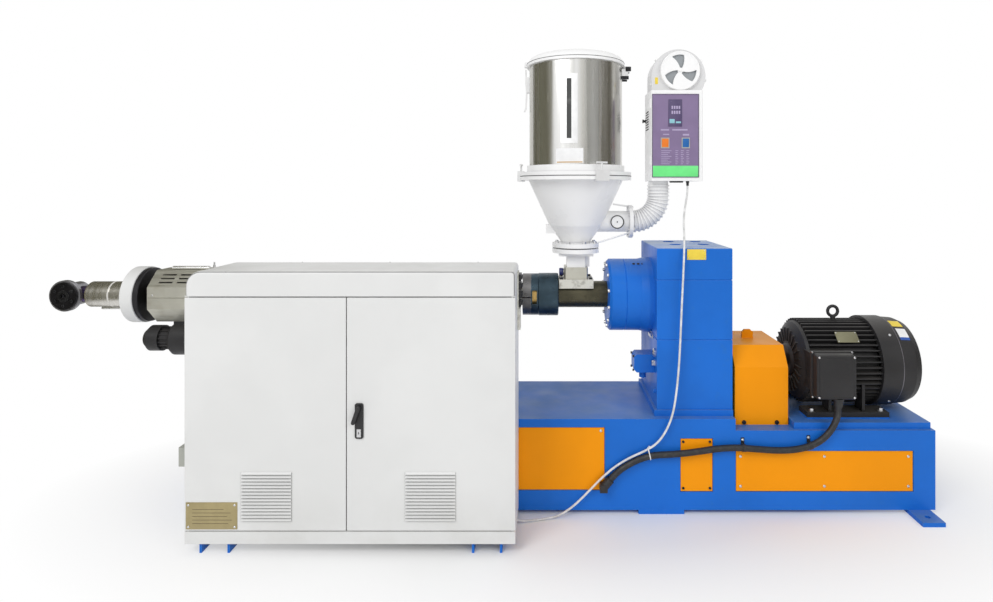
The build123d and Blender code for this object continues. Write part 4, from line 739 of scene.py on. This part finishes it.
def dress_gearbox():
    low, high = box_of("gearbox_cover")
    floor = box_of("gearbox_housing")[0].z
    face = low.y - 2.2
    left, right = low.x + 146, low.x + 238
    bottom, top = high.z - 55, high.z - 4
    plate = Shape().box((left, face, bottom), (right, low.y + 0.5, top), 0.6)
    plate.piece("gearbox_plate", plate_yellow)
    pins = Shape()
    for x, z in grid((left + 7, right - 7), (bottom + 7, top - 7)):
        pins.dome((x, face, z), FRONT, 2.6, 1.4)
    pins.piece("gearbox_plate_pins", zinc)
    bolts = Shape()
    seam = high.z - 443
    heights = (floor + 52, seam - 26, seam + 28, low.z - 26, low.z + 28, high.z - 25)
    for x, z in grid((low.x + 30, low.x + 183, low.x + 336), heights):
        bolts.bolt((x, high.y, z), BACK, 20, 12)
    for y in (low.y + 35, high.y - 35):
        bolts.bolt((low.x, y, floor + 107), LEFT, 20, 12)
    bolts.piece("gearbox_face_bolts", main["blue_paint"])
    eye = (low.x, low.y + 59, floor + 288)
    fittings = Shape()
    fittings.lathe(eye, LEFT, [(0, -1), (21, -1), (21, 6), (17, 8), (14, 8), (14, 3), (0, 3)], 32)
    fittings.bolt((eye[0], eye[1], eye[2] - 51), LEFT, 24, 16)
    for y in (low.y + 147, low.y + 113):
        fittings.bolt((low.x, y, floor + 359), LEFT, 20, 14)
    fittings.piece("gearbox_oil_fittings", zinc)
    glass = Shape().lathe(eye, LEFT, [(0, 2), (14, 2), (13, 4.5), (0, 5)], 32)
    glass.piece("gearbox_oil_glass", main["sight_glass"])
    pump_low, pump_high = box_of("oil_pump")
    pump = Shape()
    for y, z in grid((pump_low.y + 11, pump_high.y - 11), (pump_high.z - 79, pump_high.z - 11)):
        pump.socket_screw((pump_low.x, y, z), LEFT, 6, 6)
    pump.piece("oil_pump_screws", black_screws)
    floors = Shape()
    for x, y in grid((low.x + 134.5, low.x + 281.5), (-20, 150)):
        seat = (x, y, high.z - 26)
        floors.lathe(seat, UP, [(0, -0.5), (30.6, -0.5), (30.6, 1.5), (24, 2.5), (0, 2.5)], 32)
        floors.lathe(seat, UP, [(9, 2), (15, 2), (15, 9), (9, 9)], 6, closed=True)
    floors.piece("gearbox_lifting_sockets", black_screws)


def dress_thrust_housing():
    left = box_of("thrust_housing")[0].x
    rim = Shape()
    for i in range(12):
        place, _ = round_level(left, screw_axis, 160, 15 + 30 * i)
        rim.socket_screw(place, LEFT, 9, 9)
    rim.piece("thrust_housing_screws", zinc)
    lean = 26.1
    middle = Vector((left + 153, -81, screw_axis + 165))
    size = Vector((38, 14, 2))
    plate = Shape().box(middle - size, middle + size, 1.0, Matrix.Rotation(math.radians(lean), 4, "X"))
    plate.piece("thrust_housing_plate", main["blue_paint"])
    holes = Shape()
    for shift in (-23, 0, 23):
        place, out = round_level(middle.x + shift, screw_axis, 185.6, lean)
        holes.socket_screw(place, out, 7.5, 2.2)
    holes.piece("thrust_housing_plate_screws", black_screws)


def dress_terminal_box():
    low, high = box_of("terminal_box")
    rim = high.y - 18
    flange = Shape().box((low.x - 6, rim, low.z - 6), (high.x + 6, high.y, high.z + 6), 4.0)
    flange.box((low.x + 12, low.y - 2, low.z + 14), (high.x - 12, low.y + 1, high.z - 14), 1.4)
    flange.piece("terminal_box_flange", main["charcoal"])
    screws = Shape()
    for x, z in grid((low.x + 10, high.x - 10), (low.z + 10, high.z - 10)):
        screws.dome((x, low.y, z), FRONT, 5.5, 4)
    for x, z in grid((low.x - 2, high.x + 2), (low.z - 2, high.z + 2)):
        screws.socket_screw((x, rim, z), FRONT, 4, 5)
    screws.piece("terminal_box_screws", zinc)


def dress_motor():
    low, high = box_of("coupling_guard")
    guard = Shape()
    for x in (low.x + 45, high.x - 55):
        guard.bolt((x, low.y, low.z + 12), FRONT, 15, 9)
        guard.bolt((x, high.y, low.z + 12), BACK, 15, 9)
    guard.piece("guard_bolts", black_screws)
    box_low, box_high = box_of("terminal_box")
    ribs = Shape()
    for i in range(24):
        place, _ = round_level(box_low.x - 2, motor_axis, 128, 15 * i)
        turn = Matrix.Rotation(math.radians(15 * i), 4, "X")
        ribs.box(place - Vector((11, 2.6, 34)), place + Vector((11, 2.6, 34)), 1.2, turn)
    ribs.piece("motor_bell_ribs", main["charcoal"])
    tilt = Matrix.Rotation(math.radians(45), 4, "X")
    middle, out = round_level(box_high.x + 44, motor_axis, 212.5, 45)
    size = Vector((54, 30, 1.4))
    Shape().box(middle - size, middle + size, 0.7, tilt).piece("motor_plate", plate_olive)
    pins = Shape()
    slope = tilt @ Vector((0, 1, 0))
    for dx, dy in grid((-48, 48), (-24, 24)):
        pins.dome(middle + Vector((dx, 0, 0)) + slope * dy + out * 1.4, out, 3, 1.8)
    pins.piece("motor_plate_pins", zinc)
    feet = Shape()
    cowl_left = box_of("motor_cowl")[0].x
    foot_top = box_of("motor_slide_plate")[1].z + 24
    for x, y in grid((cowl_left - 340, cowl_left - 1), (-190, 190)):
        feet.bolt((x, y, foot_top), UP, 22, 15)
    feet.piece("motor_foot_bolts", zinc)


def dress_cowl():
    left = box_of("motor_cowl")[0].x
    radius = box_of("motor_cowl")[1].z - motor_axis
    band = left + 96
    screws = Shape()
    for degrees in (44, 139, 221, 316):
        place, out = round_level(left + 65, motor_axis, radius, degrees)
        screws.dome(place, out, 7, 4)
    screws.piece("cowl_band_screws", zinc)
    bead = Shape().ring((band, 0, motor_axis), RIGHT, 218, 224, 0, 4, 120)
    bead.piece("cowl_bead", worn_bead)

    def on_cowl(x, degrees, height):
        taper = max(0.0, (x - band) / 70.0)
        place, _ = round_level(x, motor_axis, radius - 5 - 5 * taper + height, degrees)
        return place

    end = band + 66
    for name, start, degrees, steps, look in (
        ("cowl_plate", band + 12, (15, 28), (6, 8), plate_yellow),
        ("cowl_card", band + 18, (32, 46), (6, 8), plate_white),
        ("cowl_card_band", band + 18, (46, 50), (6, 4), plate_blue),
    ):
        Shape().slab(on_cowl, (start, end), degrees, 1.0, steps).piece(name, look)


def dress_head():
    middle = Vector((middle_of("crosshead_face").x, box_of("crosshead_face")[0].y, screw_axis))
    face = Shape()
    for i in range(6):
        turn = math.radians(30 + 60 * i)
        face.socket_screw(middle + Vector((math.cos(turn), 0, math.sin(turn))) * 50, FRONT, 8, 5)
    face.ring(middle, FRONT, 18, 30, -0.5, 3, 48)
    face.piece("crosshead_face_screws", black_screws)


def dress_cover():
    low, high = box_of("barrel_cover")
    seam = Shape()
    rivets = Shape()
    for side, axis in ((-1, FRONT), (1, BACK)):
        near, far = sorted((side * (high.y - 0.5), side * (high.y + 1.9)))
        seam.box((low.x + 6, near, screw_axis), (high.x - 6, far, screw_axis + 4), 0.8)
        for i in range(9):
            rivets.dome((low.x + 26 + 224 * i, side * high.y, screw_axis + 16), axis, 4.5, 2.6)
    seam.piece("barrel_cover_seam", main["cover_steel"])
    rivets.piece("barrel_cover_rivets", zinc)
    probe = [(0, -2), (11, -2), (11, 6), (6, 8), (6, 20), (4, 22), (4, 34), (2.5, 36), (0, 36)]
    probes = Shape()
    for i in range(4):
        probes.lathe((low.x + 266 + 460 * i, 0, high.z - 0.5), UP, probe, 20)
    probes.piece("barrel_probes", zinc)


def dress_drum():
    low, high = box_of("hopper_barrel")
    # A dark band round the lid's rim: a painted shadow line
    seam = Shape().ring((0, 0, high.z), UP, 252, 254.8, 13.4, 15.6)
    seam.piece("lid_painted_shadow_line", rubber, "hopper_lid")
    flange = box_of("hopper_ring")
    gasket = Shape().ring((0, 0, flange[0].z), UP, flange[1].x - 2, flange[1].x + 1, 18, 21.5)
    gasket.piece("cone_gasket", rubber)

    def on_drum(degrees, z, height):
        place, _ = round_hopper(z, high.x + height, degrees)
        return place

    card = Shape().slab(on_drum, (-26, 6), (low.z + 5, low.z + 78), 0.7, (16, 2))
    card.piece("drum_card", plate_white)
    line = Shape().slab(on_drum, (-25, 5), (low.z + 8, low.z + 13), 1.0, (16, 1))
    line.piece("drum_card_line", ochre)


def dress_lid_hinge():
    _, high = box_of("hopper_hinge")
    x, z = high.x - 12, high.z - 12
    hinge = Shape()
    for side, axis in ((-1, FRONT), (1, BACK)):
        outer = side * (high.y + 4.5)
        near, far = sorted((side * (high.y - 0.5), outer))
        hinge.box((x - 14, near, z - 12), (x + 14, far, z + 12), 1.5)
        hinge.bolt((x, outer, z), axis, 16, 8)
        hinge.box((x - 32, near, z - 54), (x + 2, far, z - 36), 1.5)
    hinge.piece("lid_hinge_bolts", black_screws)


def dress_throat():
    """The bolts of throat and air inlet, the slide's knob, the dial's rim and the inlet's struts."""
    _, inlet = box_of("air_inlet")
    axis = middle_of("air_inlet").z
    bolts = Shape()
    for i in range(8):
        place, _ = round_hopper(box_of("hopper_cone")[0].z + 50, 105, 22.5 + 45 * i)
        bolts.bolt(place, UP, 15, 10)
    for i in range(6):
        turn = math.radians(60 * i + 30)
        y, z = 73 * math.cos(turn), axis + 73 * math.sin(turn)
        bolts.bolt((inlet.x - 18, y, z), LEFT, 13, 8)
        bolts.bolt((inlet.x, y, z), RIGHT, 13, 8)
    bolts.piece("dryer_flange_bolts", zinc)
    _, saddle = box_of("throat_saddle")
    screws = Shape()
    for x, y in grid((13 - saddle.x, saddle.x - 13), (14 - saddle.y, saddle.y - 14)):
        screws.socket_screw((x, y, saddle.z), UP, 8, 9)
    screws.piece("saddle_screws", black_screws)
    knob = (-box_of("throat_slide_box")[1].x, 0, middle_of("throat_slide_box").z)
    cap = Shape().lathe(knob, LEFT, [(0, 4), (18, 4), (20.5, 7), (20.5, 22), (18, 26), (0, 26.5)], 32)
    cap.piece("slide_knob_cap", blue_knob)
    x, face = inlet.x - 82, -61.5
    dial = Shape().ring((x, face, axis), FRONT, 30, 35, -0.5, 2.0, 48)
    dial.box((x - 2.5, face - 1.5, axis - 4), (x + 2.5, face + 0.5, axis + 4), 0.8)
    dial.piece("dial_rim", black_screws)
    struts = Shape().rod([(98, -30, axis - 114), (inlet.x - 17, -30, axis - 58)], 4)
    struts.rod([(196, 0, axis + 90), (inlet.x - 15, 0, axis + 78)], 4)
    struts.piece("inlet_struts", main["hopper_white"])


def dress_panel():
    """What is printed on the heater box's film, and its two switches."""
    low, high = box_of("heater_panel")
    width, height = high.x - low.x, high.z - low.z

    def tile(shape, x, z, depth, edge):
        """A flat block placed from the film's lower left corner; depth runs outwards from the film."""
        near = (low.x + x[0], low.y - depth[1], low.z + z[0])
        return shape.box(near, (low.x + x[1], low.y - depth[0], low.z + z[1]), edge)

    border = Shape()
    for x, z in (
        ((-1, 2), (-1, height + 1)),
        ((width - 2, width + 1), (-1, height + 1)),
        ((-1, width + 1), (-1, 2)),
        ((-1, width + 1), (height - 2, height + 1)),
    ):
        tile(border, x, z, (-0.5, 1.0), 0.5)
    border.piece("panel_border", border_print)
    strip = tile(Shape(), (3, width - 3), (3, 58), (-0.5, 0.8), 0.4)
    strip.piece("panel_strip", green_print)
    display = tile(Shape(), (81, 151), (257, 395), (-0.5, 2.5), 1.2)
    display.piece("panel_display", display_glass)
    on_glass = (2.2, 3.0)
    keys = tile(Shape(), (87, 113), (274, 295), on_glass, 0.4)
    tile(keys, (119, 145), (274, 283), on_glass, 0.4)
    keys.piece("panel_display_keys", teal_print)
    on_film = (-0.3, 0.6)
    marks = Shape()
    for z, x in grid((346, 321), (97, 109, 121, 133)):
        tile(marks, (x, x + 8), (z, z + 16), on_glass, 0.3)
    titles = [((43, 85), (237, 244)), ((101, 179), (237, 244))]
    for x, z in titles + [((55, 85), (215, 220)), ((155, 187), (211, 220))]:
        tile(marks, x, z, on_film, 0.3)
    for row in range(8):
        z = 133 - 9.5 * row
        tile(marks, (45, 97 - 9 * (row % 3)), (z, z + 3), on_film, 0.2)
        for x in (117, 145, 173):
            tile(marks, (x, x + 15 - 4 * (row % 2)), (z, z + 3), on_film, 0.2)
    marks.piece("panel_marks", pale_print)
    frames = tile(Shape(), (43, 87), (147, 201), (-0.5, 1.5), 1.0)
    tile(frames, (149, 191), (147, 201), (-0.5, 1.5), 1.0)
    frames.piece("panel_switch_frames", main["grey_box"])
    tip = Matrix.Rotation(math.radians(6), 4, "X")
    for name, x, look in (
        ("heat_switch", (48, 82), orange_key),
        ("blower_switch", (154, 186), blue_key),
    ):
        key_low = (low.x + x[0], low.y - 5, low.z + 152)
        key_high = (low.x + x[1], low.y - 0.5, low.z + 196)
        Shape().box(key_low, key_high, 1.5, tip).piece(name, look)


def dress_heater():
    low, _ = box_of("heater_box")
    vents = Shape()
    for i in range(8):
        z = low.z + 268 + 13 * i
        vents.box((low.x - 1.4, -20, z), (low.x + 1, 62, z + 6), 0.6)
    knob = [(0, -0.5), (9, -0.5), (9, 3), (6, 5), (6, 9), (10, 11), (10, 16), (0, 17)]
    vents.lathe((low.x, 76, low.z + 322), LEFT, knob, 24)
    vents.box((low.x + 107, -70, low.z - 8), (low.x + 169, -24, low.z + 1), 2.0)
    vents.piece("heater_vents", rubber)
    hinges = Shape()
    for rise in (82, 372):
        hinges.rod([(low.x - 1, -80, low.z + rise + step) for step in (0, 22, 46)], 5.5)
    hinges.piece("heater_hinges", main["hopper_white"])


def on_disc(degrees, radius, y):
    """A point of the blower's inlet; what radiates from its hub sweeps round as it goes out."""
    swept = 22 * min(1.0, max(0.0, (radius - 14) / 68))
    turn = math.radians(degrees + swept)
    return Vector((blower_axis.x + radius * math.cos(turn), y, blower_axis.z + radius * math.sin(turn)))


def on_shade(degrees, radius, height):
    return on_disc(degrees, radius, blower_floor - height)


def blower_disc():
    """The round inlet of the blower, with three swept windows between its hub and its rim."""
    shape = Shape()
    steps = 96
    third = steps // 3
    window = steps // 8
    first = 55.0
    front = blower_front
    spokes = [(radius, front) for radius in (14, 25, 38, 53, 68, 82)]
    rim = [(90, front), (95, front - 2), (99, front - 1), (101, front + 2), (101, front + 16)]
    last = len(spokes) - 1
    fronts = []
    floors = []
    for radius, y in spokes + rim:
        angles = [first + 360.0 * i / steps for i in range(steps)]
        fronts.append([shape.mesh.verts.new(on_disc(a, radius, y)) for a in angles])
        floors.append([shape.mesh.verts.new(on_disc(a, radius, blower_floor)) for a in angles])
    for k in range(len(fronts) - 1):
        for i in range(steps):
            j = (i + 1) % steps
            opened = k < last and i % third < window
            rings = floors if opened else fronts
            shape.mesh.faces.new((rings[k][i], rings[k][j], rings[k + 1][j], rings[k + 1][i]))
            if k < last and i % third in (0, window):
                shape.mesh.faces.new((fronts[k][i], fronts[k + 1][i], floors[k + 1][i], floors[k][i]))
            if opened and k in (0, last - 1):
                n = 0 if k == 0 else last
                shape.mesh.faces.new((fronts[n][i], fronts[n][j], floors[n][j], floors[n][i]))
    hub = shape.mesh.verts.new(Vector((blower_axis.x, front - 2, blower_axis.z)))
    for i in range(steps):
        shape.mesh.faces.new((hub, fronts[0][i], fronts[0][(i + 1) % steps]))
    shape.mesh.faces.new(fronts[-1])
    loose = [v for v in shape.mesh.verts if not v.link_faces]
    bmesh.ops.delete(shape.mesh, geom=loose, context="VERTS")
    return shape.piece("blower_disc", main["hopper_white"])


def dress_blower():
    # Grey slabs on the floors of the three windows: painted shade for the dark inside of the blower
    shades = Shape()
    for start in (55, 175, 295):
        shades.slab(on_shade, (start, start + 45), (13, 83), 0.5, (10, 6))
    shades.piece("blower_window_painted_shade", painted_window_shade)
    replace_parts(blower_disc(), "blower_inlet")
    box_low, box_high = box_of("heater_box")
    x, z = box_low.x + 146, box_high.z + 75.5
    lugs = Shape()
    for degrees in (34, 142, 196, -8):
        turn = math.radians(degrees)
        place = (x + 139 * math.cos(turn), -40, z + 139 * math.sin(turn))
        lugs.lathe(place, FRONT, [(0, 0), (9, 0), (9, 18), (7, 20), (0, 20)], 20)
    cap = [(0, -0.5), (9, -0.5), (9, 2), (6, 4), (0, 4.5)]
    lugs.lathe((blower_axis.x, blower_front - 1, blower_axis.z), FRONT, cap, 24)
    lugs.piece("blower_lugs", main["hopper_white"])
    low, _ = box_of("blower_housing")
    top = box_high.z
    plate = Shape().box((low.x + 17, low.y - 1.2, top + 35), (low.x + 32, low.y + 0.5, top + 69), 0.5)
    plate.piece("blower_plate", plate_yellow)


dress_base()
dress_doors()
dress_cabinet_side()
dress_gearbox()
dress_thrust_housing()
dress_terminal_box()
dress_motor()
dress_cowl()
dress_head()
dress_cover()
dress_drum()
dress_lid_hinge()
dress_throat()
dress_panel()
dress_heater()
dress_blower()


def make_sheet(name, low, high, across, finish):
    """A flat sheet for the studio, from its low corner along across and on to its high corner."""
    mesh = bpy.data.meshes.new(name)
    other = Vector(low) + Vector(high) - Vector(across)
    mesh.from_pydata([low, across, high, other], [], [(0, 1, 2, 3)])
    mesh.materials.append(finish.material)
    sheet = place_object(name, mesh)
    return sheet


def make_floor():
    """A pale floor that keeps the shadow near the part and fades to plain white further out."""
    half = 30.0
    fade = (0.55, 1.25)
    finish = Finish("floor", (0.95, 0.95, 0.95), 0.9)
    squeeze = finish.node("ShaderNodeMapping", {"Scale": (0.45, 1.0, 1.0)})
    finish.link(finish.place, squeeze.inputs["Vector"])
    distance = finish.node("ShaderNodeVectorMath", operation="LENGTH")
    finish.link(squeeze.outputs["Vector"], distance.inputs[0])
    far = finish.span(distance.outputs["Value"], *fade)
    rays = finish.node("ShaderNodeLightPath")
    seen = finish.node("ShaderNodeMath", operation="ADD", use_clamp=True)
    finish.link(rays.outputs["Is Camera Ray"], seen.inputs[0])
    finish.link(rays.outputs["Is Glossy Ray"], seen.inputs[1])
    white = finish.node("ShaderNodeEmission")
    blend = finish.node("ShaderNodeMixShader")
    finish.link(finish.times(far, seen.outputs["Value"]), blend.inputs["Fac"])
    finish.link(finish.shader.outputs["BSDF"], blend.inputs[1])
    finish.link(white.outputs["Emission"], blend.inputs[2])
    finish.link(blend.outputs["Shader"], finish.tree.nodes["Material Output"].inputs["Surface"])
    make_sheet("floor", (-half, -half, 0), (half, half, 0), (half, -half, 0), finish)


def make_world():
    """Even soft light, seen as white by the camera and in metal."""
    world = bpy.data.worlds.new("studio")
    bpy.context.scene.world = world
    world.use_nodes = True
    tree = world.node_tree
    soft = tree.nodes["Background"]
    white = tree.nodes.new("ShaderNodeBackground")
    for background, strength in ((soft, 0.55), (white, 1.0)):
        background.inputs["Color"].default_value = (1.0, 1.0, 1.0, 1.0)
        background.inputs["Strength"].default_value = strength
    rays = tree.nodes.new("ShaderNodeLightPath")
    seen = rays.outputs["Is Camera Ray"]
    for kind in ("Is Transmission Ray", "Is Glossy Ray"):
        either = tree.nodes.new("ShaderNodeMath")
        either.operation = "MAXIMUM"
        tree.links.new(seen, either.inputs[0])
        tree.links.new(rays.outputs[kind], either.inputs[1])
        seen = either.outputs["Value"]
    blend = tree.nodes.new("ShaderNodeMixShader")
    tree.links.new(seen, blend.inputs["Fac"])
    tree.links.new(soft.outputs["Background"], blend.inputs[1])
    tree.links.new(white.outputs["Background"], blend.inputs[2])
    tree.links.new(blend.outputs["Shader"], tree.nodes["World Output"].inputs["Surface"])


def make_lamp(name, place, target, size, power):
    lamp = bpy.data.lights.new(name, "AREA")
    lamp.shape = "SQUARE"
    lamp.size = size
    lamp.energy = power
    obj = place_object(name, lamp)
    obj.location = place
    obj.rotation_euler = (Vector(target) - Vector(place)).to_track_quat("-Z", "Y").to_euler()


def make_card(name, low, high, color):
    """A dark card beside the camera that only metal sees, as a photographer's flag."""
    card = make_sheet(name, low, high, (high[0], high[1], low[2]), plain_print(name, color, 0.8))
    card.visible_camera = False
    card.visible_diffuse = False
    card.visible_shadow = False


def make_camera():
    lens = bpy.data.cameras.new("camera")
    lens.sensor_width = sensor_width
    lens.lens = focal_pixels / photo_width * sensor_width
    lens.shift_x = (photo_width / 2 - vanishing_point[0]) / photo_width
    lens.shift_y = (vanishing_point[1] - photo_height / 2) / photo_width
    camera = place_object("camera", lens)
    camera.location = camera_place
    camera.rotation_euler = (math.pi / 2, 0, 0)
    bpy.context.scene.camera = camera


make_floor()
make_world()
make_lamp("key", place=(-3.2, -4.6, 5.0), target=(0.0, 0.0, 0.9), size=3.0, power=160.0)
make_lamp("fill", place=(3.8, -4.2, 3.6), target=(0.4, 0.0, 0.9), size=3.0, power=75.0)
make_card("left flag", (-3.1, 2.6, 0.0), (-3.4, -2.1, 4.5), (0.20, 0.19, 0.13))
make_card("right flag", (3.3, -2.4, 0.0), (4.0, 0.3, 4.5), (0.18, 0.165, 0.13))
make_card("front flag", (1.5, -4.5, 0.0), (3.3, -2.4, 4.5), (0.40, 0.40, 0.385))
make_camera()
bpy.context.scene.view_settings.view_transform = "Standard"
